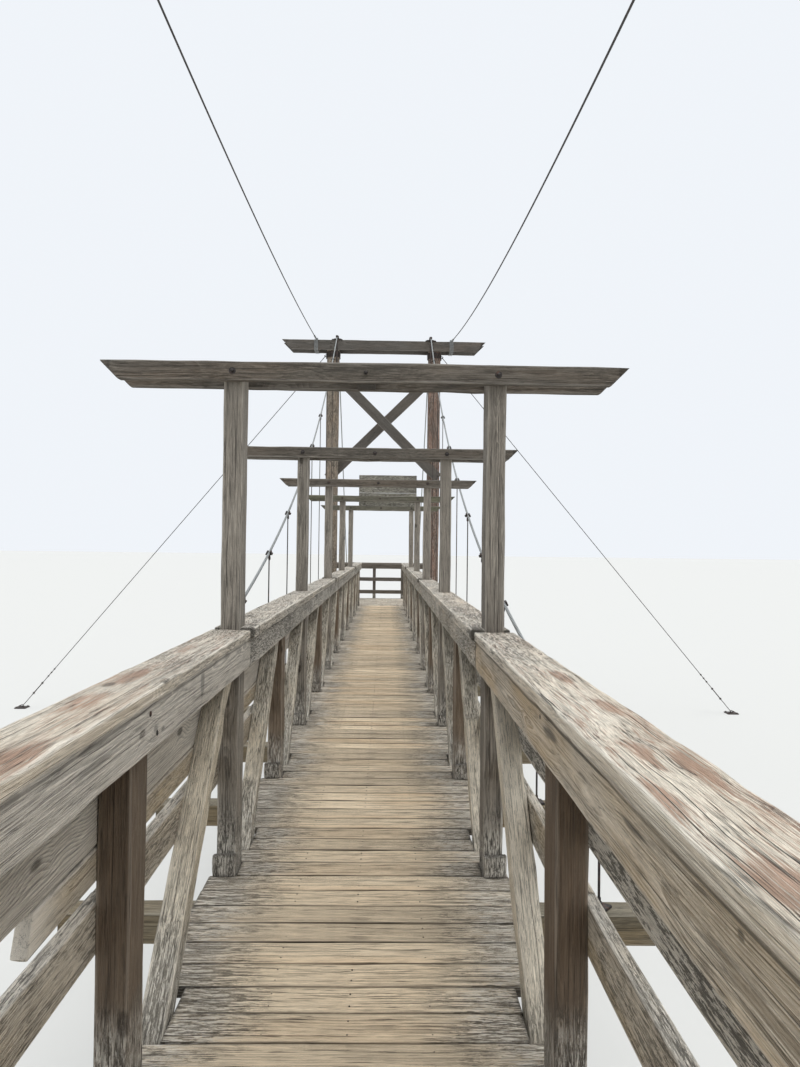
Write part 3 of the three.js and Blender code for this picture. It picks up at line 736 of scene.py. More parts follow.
class Timbers:
    """The boards, posts and beams of one piece, gathered into one mesh, each with its own grain."""

    def __init__(self, name):
        self.name = name
        self.random = np.random.default_rng(zlib.crc32(name.encode()))
        self.points = []
        self.faces = []
        self.stored = {"grain": [], "span": [], "board": [], "weather": []}
        self.count = 0

    def add(self, start, stop, across, width, thickness, wear=None, step=0.24,
            cuts=(0.0, 0.0), rough=0.0009, bow=0.0015, weather=0.0):
        """A worn board from start to stop. Its width lies along across, and cuts slope its two ends."""
        if wear is None:
            wear = bpy.context.scene.footbridge_sizes.edge_wear
        start = np.array(start, float)
        along = np.array(stop, float) - start
        length = np.linalg.norm(along)
        along /= length
        across = np.array(across, float)
        through = np.cross(along, across)
        ring = worn_section(width, thickness, wear)
        steps = max(2, round(length / step))
        stations = np.concatenate(([0.0], np.linspace(wear, length - wear, steps + 1), [length]))
        u = np.tile(ring[:, 0], (len(stations), 1))
        v = np.tile(ring[:, 1], (len(stations), 1))
        for end in (0, -1):
            u[end] *= 1 - 1.4 * wear / width
            v[end] *= 1 - 1.4 * wear / thickness
        drift = self.random.normal(0.0, rough, (len(stations), 4, 2))
        corner = np.repeat(np.arange(4), CORNER_POINTS)
        u += drift[:, corner, 0]
        v += drift[:, corner, 1]
        t = stations[:, None] / length
        arch = np.sin(math.pi * t)
        lean = self.random.normal(0.0, bow, 2)
        w = stations[:, None] + cuts[0] * u * (1 - t) + cuts[1] * u * t
        grain = np.stack([u, v, w], axis=-1).reshape(-1, 3)
        u = u + arch * lean[0]
        v = v + arch * lean[1]
        places = start + u[..., None] * across + v[..., None] * through + w[..., None] * along
        places = places.reshape(-1, 3)
        self.faces += loft(len(stations), len(ring), self.count)
        self.points.append(places)
        self.count += len(places)
        self.stored["grain"].append(grain)
        self.stored["board"].append(np.full(len(places), self.random.random()))
        self.stored["span"].append(np.tile((width / 2, thickness / 2, length), (len(places), 1)))
        damp = weather(places) if callable(weather) else np.full(len(places), float(weather))
        self.stored["weather"].append(damp)

    def level(self, half, y, z, height, depth, across=(0, 0, 1), **options):
        """A board across the walkway."""
        self.add((-half, y, z), (half, y, z), across, height, depth, **options)

    def upright(self, x, y, low, high, width, depth, **options):
        """A post or a block that stands on its end."""
        self.add((x, y, low), (x, y, high), (1, 0, 0), width, depth, **options)

    def run(self, x, z, height, joints, **options):
        """Boards end to end along the truss, from joint to joint."""
        for start, stop in zip(joints, joints[1:]):
            ends = (x, start + JOINT_GAP / 2, z), (x, stop - JOINT_GAP / 2, z)
            self.add(*ends, (0, 0, 1), height, BOARD, **options)

    def mesh(self):
        mesh = bpy.data.meshes.new(self.name)
        mesh.from_pydata((np.concatenate(self.points) * MODEL_SCALE).tolist(), [], self.faces)
        for name, values in self.stored.items():
            store(mesh, name, np.concatenate(values))
        mesh.validate()
        mesh.update()
        return mesh

    def piece(self, material, slot, *nodes):
        mesh = self.mesh()
        note_skyward(mesh)
        mesh.materials.append(finish(material))
        return settle(add_object(self.name, mesh), slot, *nodes)


def circle(centre, radius, steps, first, second):
    """Points round a circle that lies along two of the three axes."""
    points = []
    for angle in np.linspace(0, math.tau, steps, False):
        point = list(centre)
        point[first] += radius * math.cos(angle)
        point[second] += radius * math.sin(angle)
        points.append(point)
    return points


class Metalwork:
    """Steel parts of one piece, gathered into one mesh."""

    def __init__(self, name):
        self.name = name
        self.work = bmesh.new()

    def box(self, centre, size, wear=0.003):
        made = bmesh.ops.create_cube(self.work, size=1.0)["verts"]
        bmesh.ops.scale(self.work, vec=size, verts=made)
        edges = list({edge for vert in made for edge in vert.link_edges})
        made = bmesh.ops.bevel(self.work, geom=edges, offset=wear, segments=2, affect="EDGES")["verts"]
        bmesh.ops.translate(self.work, vec=centre, verts=made)

    def skin(self, rows, closed=False):
        """Faces between rows of points, and over the first and the last unless the rows are closed."""
        for low, high in zip(rows, rows[1:] + rows[:1] if closed else rows[1:]):
            for i in range(len(low)):
                j = (i + 1) % len(low)
                self.work.faces.new((low[i], low[j], high[j], high[i]))
        if not closed:
            self.work.faces.new(rows[0][::-1])
            self.work.faces.new(rows[-1])

    def row(self, points):
        return [self.work.verts.new(point) for point in points]

    def turned(self, profile, at, axis=(0, 0, 1), sides=12):
        """A turned part: profile is radius and height from end to end, closed on its axis."""
        rows = [self.row(circle((0, 0, height), radius, sides, 0, 1)) for radius, height in profile]
        self.skin(rows)
        turn = Vector((0, 0, 1)).rotation_difference(Vector(axis)).to_matrix().to_4x4()
        verts = [v for row in rows for v in row]
        bmesh.ops.transform(self.work, matrix=Matrix.Translation(at) @ turn, verts=verts)

    def nuts(self, at, dx, dy, profile):
        """A six-sided nut at each corner of a plate."""
        for x in (-dx, dx):
            for y in (-dy, dy):
                self.turned(profile, (at[0] + x, at[1] + y, at[2]), sides=6)

    def rod(self, start, stop, radius, sides=10):
        line = Vector(stop) - Vector(start)
        self.turned(((radius, 0.0), (radius, line.length)), start, line.normalized(), sides)

    def sheet(self, x, y, outline, thickness):
        """A flat steel plate across X, on an outline of places along Y and heights."""
        faces = (x - thickness / 2, x + thickness / 2)
        self.skin([self.row((face, y + u, z) for u, z in outline) for face in faces])

    def tube(self, path, radius, sides=8, closed=False):
        """A round bar bent along a list of points."""
        path = [Vector(p) for p in path]
        count = len(path)
        rows = []
        normal = None
        for i, point in enumerate(path):
            ahead = path[(i + 1) % count] if closed or i < count - 1 else point
            behind = path[i - 1] if closed or i > 0 else point
            tangent = (ahead - behind).normalized()
            if normal is None:
                normal = tangent.orthogonal().normalized()
            normal = (normal - tangent * normal.dot(tangent)).normalized()
            other = tangent.cross(normal)
            turns = circle((0, 0), radius, sides, 0, 1)
            rows.append(self.row(point + u * normal + v * other for u, v in turns))
        self.skin(rows, closed)

    def mesh(self):
        mesh = bpy.data.meshes.new(self.name)
        bmesh.ops.recalc_face_normals(self.work, faces=self.work.faces)
        bmesh.ops.scale(self.work, vec=(MODEL_SCALE,) * 3, verts=self.work.verts)
        self.work.to_mesh(mesh)
        self.work.free()
        mesh.shade_smooth()
        mesh.set_sharp_from_angle(angle=math.radians(32))
        return mesh

    def sample(self):
        """One bare object, for a tree to repeat."""
        return add_object(self.name, self.mesh())

    def piece(self, *nodes, material="dark_steel"):
        piece = self.sample()
        piece.data.materials.append(finish(material))
        return settle(piece, "fitting_steel", *nodes)


class Tree(Graph):
    """A Geometry Nodes tree with named inputs. It ends in one real mesh with its finish."""

    def __init__(self, name, *inputs):
        super().__init__(bpy.data.node_groups.new(name, "GeometryNodeTree"))
        face = self.tree.interface
        self.known = {}
        for label, kind in (("Geometry", "Geometry"), *inputs, ("Finish", "Material")):
            made = face.new_socket(label, in_out="INPUT", socket_type=f"NodeSocket{kind}")
            self.known[label] = made.identifier
        face.new_socket("Geometry", in_out="OUTPUT", socket_type="NodeSocketGeometry")
        self.values = self.given()

    def named(self, name, kind="FLOAT"):
        return self.add("GeometryNodeInputNamedAttribute", {"Name": name}, data_type=kind)

    def stored(self, geometry, name, value, domain="POINT"):
        inputs = {"Geometry": geometry, "Name": name, "Value": value}
        return self.add("GeometryNodeStoreNamedAttribute", inputs, data_type="FLOAT", domain=domain)

    def chance(self, kind, low, high, shift=0.0):
        """A random value for each point, with the tree's seed moved on by shift."""
        first, output = {"FLOAT_VECTOR": (0, 0), "FLOAT": (2, 1), "INT": (4, 2)}[kind]
        inputs = {first: low, first + 1: high, "Seed": self.values["Seed"] + shift}
        return self.add("FunctionNodeRandomValue", inputs, output, data_type=kind)

    def shape(self, label):
        return self.add("GeometryNodeObjectInfo", {"Object": self.values[label]}, "Geometry")

    def on_points(self, points, instance, inputs):
        return self.add("GeometryNodeInstanceOnPoints", {"Points": points, "Instance": instance, **inputs})

    def end(self, geometry):
        """Makes the instances one mesh and gives it its finish."""
        real = self.add("GeometryNodeRealizeInstances", {"Geometry": geometry})
        painted = self.add("GeometryNodeSetMaterial", {"Geometry": real, "Material": self.values["Finish"]})
        self.node("NodeGroupOutput", {0: painted})
        return self


def laid_boards_tree():
    """Boards laid one on each point, picked from a few kinds and lying a little out of line."""
    g = Tree("Laid boards", ("Kinds", "Collection"), ("Stray", "Float"), ("Seed", "Int"))
    given = g.values
    kinds = g.add("GeometryNodeCollectionInfo", {"Collection": given["Kinds"], "Separate Children": True})
    slack = g.chance("FLOAT_VECTOR", (-0.6, -0.7, -1.0), (0.6, 0.7, 0.4), 1.0) * given["Stray"]
    moved = g.add("GeometryNodeSetPosition", {"Geometry": given["Geometry"], "Offset": slack})
    laid = g.on_points(moved, kinds, {
        "Pick Instance": True, "Instance Index": g.chance("INT", 0, BOARD_KINDS - 1, 2.0),
        "Scale": g.joined(g.named("stretch"), 1.0, 1.0),
        "Rotation": g.chance("FLOAT_VECTOR", (-0.006, -0.0012, -0.0022), (0.006, 0.0012, 0.0022), 3.0),
    })
    return g.end(g.stored(laid, "board", g.chance("FLOAT", 0.0, 1.0, 4.0), "INSTANCE"))


def fasteners_tree():
    """One fastener on each point, standing along its "aim" and turned by chance."""
    g = Tree("Fasteners", ("Fastener", "Object"), ("Seed", "Int"))
    facing = g.add("FunctionNodeAlignRotationToVector", {"Vector": g.named("aim", "FLOAT_VECTOR")}, axis="Z")
    angle = g.chance("FLOAT", 0.0, math.tau)
    spin = g.add("FunctionNodeAxisAngleToRotation", {"Axis": (0.0, 0.0, 1.0), "Angle": angle})
    turned = g.add("FunctionNodeRotateRotation", {0: facing, 1: spin}, rotation_space="LOCAL")
    return g.end(g.on_points(g.values["Geometry"], g.shape("Fastener"), {"Rotation": turned}))


def rope_tree():
    """A round rope along the edges of a mesh, which knows how far along and round itself each point is."""
    g = Tree("Rope", ("Radius", "Float"), ("Sides", "Int"), ("Spacing", "Float"))
    given = g.values
    line = g.add("GeometryNodeMeshToCurve", {"Mesh": given["Geometry"]})
    line = g.add("GeometryNodeResampleCurve", {"Curve": line, "Length": given["Spacing"]}, mode="LENGTH")
    line = g.stored(line, "along", g.add("GeometryNodeSplineParameter", None, "Length"))
    size = {"Resolution": given["Sides"], "Radius": given["Radius"]}
    ring = g.add("GeometryNodeCurvePrimitiveCircle", size)
    ring = g.stored(ring, "around", g.add("GeometryNodeSplineParameter", None, "Factor"))
    made = g.add("GeometryNodeCurveToMesh", {"Curve": line, "Profile Curve": ring, "Fill Caps": True})
    return g.end(g.add("GeometryNodeSetShadeSmooth", {"Geometry": made, "Shade Smooth": True}))


def hangers_tree():
    """A rod from each point up to the cable, and a clamp on the cable, whose height is Low + Sag * y * y."""
    g = Tree("Hangers", ("Low", "Float"), ("Sag", "Float"), ("Rod", "Object"), ("Clamp", "Object"))
    given = g.values
    points = given["Geometry"]
    x, y, z = g.parts(g.add("GeometryNodeInputPosition"))
    high = y * y * given["Sag"] + given["Low"]
    rods = g.on_points(points, g.shape("Rod"), {"Scale": g.joined(1.0, 1.0, high - z)})
    lifted = g.add("GeometryNodeSetPosition", {"Geometry": points, "Position": g.joined(x, y, high)})
    slope = g.math("ARCTANGENT", y * given["Sag"] * 2.0)
    clamps = g.on_points(lifted, g.shape("Clamp"), {"Rotation": g.joined(slope)})
    both = g.node("GeometryNodeJoinGeometry")
    for part in (rods, clamps):
        g.plug(both.inputs[0], part)
    return g.end(Value(g, both.outputs[0]))


TREES = {}


def run_tree(piece, maker, material, **values):
    """Runs one of the trees on a piece and keeps its result as a plain mesh."""
    if maker not in TREES:
        TREES[maker] = maker()
    g = TREES[maker]
    modifier = piece.modifiers.new(g.tree.name, "NODES")
    modifier.node_group = g.tree
    for label, value in {**values, "finish": finish(material)}.items():
        modifier[g.known[label.capitalize()]] = value
    graph = bpy.context.evaluated_depsgraph_get()
    mesh = bpy.data.meshes.new_from_object(piece.evaluated_get(graph))
    piece.modifiers.clear()
    piece.data = mesh
    return piece


def point_piece(name, places, edges=(), **fields):
    """An object of bare points, in real metres, with a named attribute for each field."""
    mesh = bpy.data.meshes.new(name)
    mesh.from_pydata([tuple(c * MODEL_SCALE for c in p) for p in places], list(edges), [])
    for key, values in fields.items():
        store(mesh, key, values)
    return add_object(name, mesh)


def discard(*things):
    for thing in things:
        bpy.data.objects.remove(thing)


def lay_boards(name, places, stretch, length, width, weather, seed):
    """Lays boards across the walkway, one centred on each place."""
    kinds = bpy.data.collections.new(name + "_kinds")
    bpy.context.scene.collection.children.link(kinds)
    samples = []
    for i in range(BOARD_KINDS):
        kind = Timbers(f"{name}_kind_{i}")
        kind.level(length / 2, 0, 0, width - 0.0012 * (i % 3), BOARD, (0, -1, 0),
                   step=0.19, rough=0.0011, bow=0.0008, weather=weather)
        samples.append(bpy.data.objects.new(kind.name, kind.mesh()))
        kinds.objects.link(samples[-1])
    piece = point_piece(name, places, stretch=stretch)
    stray = bpy.context.scene.footbridge_sizes.stray * MODEL_SCALE
    run_tree(piece, laid_boards_tree, "deck", kinds=kinds, stray=stray, seed=seed)
    discard(*samples)
    bpy.data.collections.remove(kinds)
    note_skyward(piece.data)
    return piece


def set_fasteners(name, fastener, spots, seed):
    """Sets one fastener at each spot, which is a place and the way that it points."""
    places, aims = zip(*spots)
    piece = point_piece(name, places, aim=aims)
    run_tree(piece, fasteners_tree, "dark_steel", fastener=fastener, seed=seed)
    discard(fastener)
    return settle(piece, "fitting_steel")


def bolt_head(width):
    """A washer with a low dome."""
    part = Metalwork("bolt")
    r = width / 2
    part.turned(((r, -0.004), (r, 0.003), (r * 0.93, 0.0045), (r * 0.55, 0.005)), (0, 0, 0), sides=14)
    dome = ((0.52, 0.0), (0.52, 0.006), (0.46, 0.011), (0.30, 0.0145), (0.10, 0.016))
    part.turned([(r * portion, z) for portion, z in dome], (0, 0, 0.003), sides=10)
    return part.sample()


def nail_head(width):
    part = Metalwork("nail")
    part.turned(((width / 2, -0.002), (width / 2, 0.0006), (width * 0.36, 0.0014)), (0, 0, 0), sides=7)
    return part.sample()


def plate_and_nut(plate, nut):
    """A square plate with a hexagonal nut and the rod's end, on top of the surface that it is set on."""
    part = Metalwork("plate_and_nut")
    part.box((0, 0, 0.006), (plate, plate, 0.012), 0.002)
    part.turned(((nut / 2, 0.0), (nut / 2, 0.015), (nut * 0.42, 0.018)), (0, 0, 0.012), sides=6)
    part.rod((0, 0, 0.012), (0, 0, 0.05), nut * 0.27)
    return part.sample()


def rope(name, path, radius, material, sides, spacing):
    """A rope along a list of points in real metres."""
    piece = point_piece(name, path, zip(range(len(path) - 1), range(1, len(path))))
    radius, spacing = radius * MODEL_SCALE, spacing * MODEL_SCALE
    return run_tree(piece, rope_tree, material, radius=radius, sides=sides, spacing=spacing)


# How much has settled on a board or how bleached it is, from places in real metres
def foot_grime(places):
    return np.clip(1.0 - np.abs(places[:, 2] - DECK_TOP) / 0.28, 0.0, 1.0) * 0.76


def edge_grime(places):
    return np.clip((np.abs(places[:, 0]) - 0.31) / 0.20, 0.0, 1.0) * 0.66


def far_grime(places):
    near = np.where(places[:, 0] < 0, -0.3, 0.06)
    return np.where(np.abs(places[:, 1]) < 2 * PANEL, near, 0.52)


def brace_grime(places):
    near = np.where(places[:, 0] > 0, -0.35, 0.06)
    return 0.75 * foot_grime(places) + np.where(np.abs(places[:, 1]) < 2.5 * PANEL, near, 0.2)


def cap_grime(places):
    return np.clip((np.abs(places[:, 1]) - 1.1) / 3, 0.0, 1.0) * 0.36


def landing_grime(places):
    return 0.40 + 0.15 * np.abs(places[:, 0]) / LANDING_HALF


def leg_grime(places):
    return np.clip(1 - places[:, 2] / 0.9, 0, 1)


def splice_grime(places):
    return np.where(places[:, 1] < SPLICE_START + 0.02, -0.8, 0.1)


def real_box(node):
    """The low and the high corner of a node's box, in real metres."""
    return [corner / MODEL_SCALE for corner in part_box(node)]


def joints_at(spacing, shift=0):
    """Places of a chord's joints: the truss ends and every few panel points."""
    middle = [k * PANEL for k in PANEL_POINTS if (k - shift) % spacing == 0 and abs(k) < TRUSS_PANELS]
    return [-TRUSS_END, *middle, TRUSS_END]


def post_base(work, side, y):
    """The short upright block on the deck against a post's face towards midspan."""
    facing = -1 if y > 0 else 1
    y += facing * (POST_Y / 2 + 0.014)
    work.upright(side * BASE_X, y, DECK_TOP + 0.001, DECK_TOP + BASE_HIGH, BASE_WIDE, BASE_DEEP,
                 wear=0.005, step=0.03, cuts=(0.0, 0.06), rough=0.0014, weather=0.5)


class FootbridgePortals(bpy.types.Operator):
    """Two posts and a pair of bolted boards over the walkway at every second panel point."""

    bl_idname = "footbridge.portals"
    bl_label = "Portal frames"

    def execute(self, context):
        half = PORTAL_BEAM / 2 - POST_X / 2
        for k in PORTAL_POINTS:
            place = "mid" if k == 0 else f"{'near' if k < 0 else 'far'}_{abs(k) // 2}"
            low, high = real_box(f"portal_frame_{place}")
            y = (low.y + high.y) / 2
            posts = Timbers(f"portal_posts_{place}")
            for side in BOTH:
                posts.upright(side * POST_CENTRE, y, STRINGER_UNDER, PORTAL_TOP - 0.012, POST_X, POST_Y,
                              step=0.2, rough=0.0014, weather=foot_grime)
                post_base(posts, side, y)
            posts.piece("post", "post_timber", f"portal_frame_{place}")
            beams = Timbers(f"portal_beams_{place}")
            for face in BOTH:
                plane = y + face * (POST_Y / 2 + BOARD / 2)
                beams.level(half, plane, PORTAL_TOP - POST_X / 2, POST_X, BOARD, step=0.16, cuts=(-1.0, 1.0),
                            rough=0.0014, bow=0.004, weather=0.1)
            beams.upright(0, y, PORTAL_TOP - POST_X, PORTAL_TOP - 0.006, POST_X, POST_Y - 0.002)
            beams.piece("mossy_beam" if abs(k) >= MOSSY_PANELS else "portal_beam", "post_timber")
        return {"FINISHED"}


class FootbridgeTrusses(bpy.types.Operator):
    """Plain posts, diagonals and bottom chords of both trusses."""

    bl_idname = "footbridge.trusses"
    bl_label = "Truss webs"

    def execute(self, context):
        for label, side in SIDES:
            posts = Timbers(f"truss_posts_{label}")
            x = side * POST_CENTRE
            for k in PLAIN_POINTS:
                posts.upright(x, k * PANEL, STRINGER_UNDER, CAP_UNDER, POST_X, POST_Y,
                              rough=0.0013, weather=foot_grime)
                post_base(posts, side, k * PANEL)
            for chord in (CHORD_INNER, CHORD_OUTER):
                posts.run(side * chord, DECK_UNDER - CHORD / 2, CHORD, joints_at(3), weather=0.35)
            posts.piece("web", "post_timber", f"truss_web_{label}")
            braces = Timbers(f"truss_diagonals_{label}")
            for end in BOTH:
                for k in range(1, TRUSS_PANELS):
                    self.diagonal(braces, x, end, k)
            braces.piece("diagonal", "post_timber")
        return {"FINISHED"}

    def diagonal(self, work, x, end, k):
        """A brace leaning from its foot to the next post's head, cut level at both ends."""
        rise = CAP_UNDER - STRINGER_UNDER
        run = PANEL - DIAGONAL_FOOT - POST_Y / 2
        spread = DIAGONAL / 2 * math.hypot(1.0, (run - DIAGONAL / 2) / rise)
        foot = Vector((x, end * (k * PANEL + DIAGONAL_FOOT), STRINGER_UNDER))
        head = Vector((x, end * ((k + 1) * PANEL - POST_Y / 2 - spread - 0.001), CAP_UNDER))
        along = (head - foot).normalized()
        across = along.cross(Vector((1, 0, 0))).normalized()
        slope = -across.z / along.z
        work.add(foot, head, across, DIAGONAL, POST_X - 0.003, step=0.12, cuts=(slope, slope), rough=0.0016,
                 wear=0.006, weather=brace_grime)


class FootbridgeChords(bpy.types.Operator):
    """Upper chords inside and outside the posts, mid rails and the repair board."""

    bl_idname = "footbridge.chords"
    bl_label = "Chords and rails"

    def execute(self, context):
        for label, side in SIDES:
            inner = Timbers(f"inner_chord_{label}")
            inner.run(side * CHORD_INNER, CAP_UNDER - CHORD / 2 - 0.0025, CHORD - 0.005, joints_at(2),
                      step=0.14, rough=0.0013, weather=far_grime)
            inner.piece(f"{label}_chord", "chord_timber", f"top_chord_inner_{label}")
            outer = Timbers(f"outer_chord_{label}")
            x = side * CHORD_OUTER
            # Painted shade: the right outer chord lies in shadow, so its weather of 0.55 darkens it as grime;
            # the left takes only a trace of grime
            grime_and_shade = 0.04 if side < 0 else 0.55
            outer.run(x, CAP_UNDER - CHORD / 2, CHORD, joints_at(3, 1), weather=grime_and_shade)
            low = CAP_UNDER - CHORD - 0.005 - FASCIA_LOW / 2
            outer.run(x, low, FASCIA_LOW - 0.004, joints_at(3), weather=grime_and_shade)
            outer.piece("outer_chord", "chord_timber", f"top_chord_outer_{label}")
            rail = Timbers(f"mid_rail_boards_{label}")
            rail.run(x, MID_RAIL_TOP - CHORD / 2, CHORD, joints_at(4, 1), rough=0.0014, weather=0.15)
            rail.piece("rail", "chord_timber", f"mid_rail_{label}")
        low, high = real_box("splice_board_left")
        x, z = -CHORD_OUTER, (low.z + high.z) / 2
        splice = Timbers("splice_board")
        splice.add((x, SPLICE_START, z), (x, SPLICE_END, z), (0, 0, 1), SPLICE_HEIGHT, BOARD,
                   cuts=(0.35, 0.35), weather=splice_grime)
        splice.piece("rail", "chord_timber", "splice_board_left")
        return {"FINISHED"}


class FootbridgeCaps(bpy.types.Operator):
    """Bleached cap boards, each notched round the portal post where it starts."""

    bl_idname = "footbridge.caps"
    bl_label = "Railing caps"

    def execute(self, context):
        rise = context.scene.footbridge_sizes.cap_rise
        for label, side in SIDES:
            work = Timbers(f"cap_boards_{label}")
            for end in BOTH:
                for k in range(0, TRUSS_PANELS, 2):
                    odd = (k // 2) % 2
                    start = k * PANEL - (POST_Y / 2 if k else 0.0)
                    stop = TRUSS_END if k + 2 > TRUSS_PANELS else (k + 2) * PANEL - POST_Y / 2
                    self.cap(work, side, end, CAP_INNER - odd * CAP_STEP, BOARD + odd * rise, start, stop)
            work.piece("cap", "cap_timber", f"cap_rail_{label}")
        return {"FINISHED"}

    def cap(self, work, side, end, inner, thickness, start, stop):
        """One board, with two short tongues beside the post at its start."""
        z = CAP_UNDER + thickness / 2
        body = start + (POST_Y if start else POST_Y / 2) + 0.001
        outer = inner + CAP
        strips = (
            (inner, outer, body, stop - 0.001, {"step": 0.11, "weather": cap_grime}),
            (inner, POST_INNER - 0.001, start + 0.001, body + 0.004, {"step": 0.07, "weather": 0.8}),
            (POST_OUTER + 0.001, outer, start + 0.001, body + 0.004, {"step": 0.07, "weather": 0.8}),
        )
        for low, high, first, last, options in strips:
            x = side * (low + high) / 2
            work.add((x, end * first, z), (x, end * last, z), (1, 0, 0), high - low, thickness,
                     wear=0.0065, rough=0.0011, bow=0.0006, **options)
        boards = work.stored["board"]
        for tongue in boards[-2:]:
            tongue[:] = boards[-3][0]


class FootbridgeFloor(bpy.types.Operator):
    """Floor beams, stringers and the deck boards."""

    bl_idname = "footbridge.floor"
    bl_label = "Floor and deck"

    def execute(self, context):
        work = Timbers("floor_beams")
        for k in PANEL_POINTS:
            if abs(k) != TOWER_PANEL:
                work.level(FLOOR_BEAM / 2, k * PANEL, STRINGER_UNDER - BEAM / 2, BEAM, BEAM, (0, 1, 0),
                           wear=0.007, rough=0.0016)
        for x in STRINGERS:
            work.run(x, DECK_UNDER - CHORD / 2, CHORD, joints_at(3), weather=0.4)
        work.piece("floor", "floor_timber", "floor_frame")
        self.deck(context.scene.footbridge_sizes)
        return {"FINISHED"}

    def deck(self, sizes):
        """Boards across the walkway and over the bottom chords, short beside the posts and the diagonals."""
        reach = 2 * (POST_INNER - 0.002)
        z = DECK_TOP - BOARD / 2
        first = POST_Y / 2 + 0.010
        random = np.random.default_rng(11)
        places = [(0.0, 0.0, z)]
        stretch = [1.0]
        for end in BOTH:
            for i in range(math.ceil((TRUSS_END - first) / DECK_PITCH)):
                panel, step = divmod(i, PANEL_BOARDS)
                short = step == PANEL_BOARDS - 1 or (step in (1, 2) and panel > 0)
                half = POST_INNER - 0.002 if short else DECK_OUTER - 0.003
                places.append((0.0, end * (first + (i + 0.5) * DECK_PITCH), z))
                stretch.append(2 * (half - random.uniform(0.0, 0.004)) / reach)
        boards = lay_boards("deck_boards", places, stretch, reach, sizes.deck_board, edge_grime, 5)
        settle(boards, "deck_timber", "deck")
        nails = [
            ((line, place[1] + gap, DECK_TOP - 0.0004), (0, 0, 1))
            for place in places for line in STRINGERS for gap in (-DECK_NAIL_GAP, DECK_NAIL_GAP)
        ]
        set_fasteners("deck_nails", nail_head(sizes.nail_head), nails, 3)


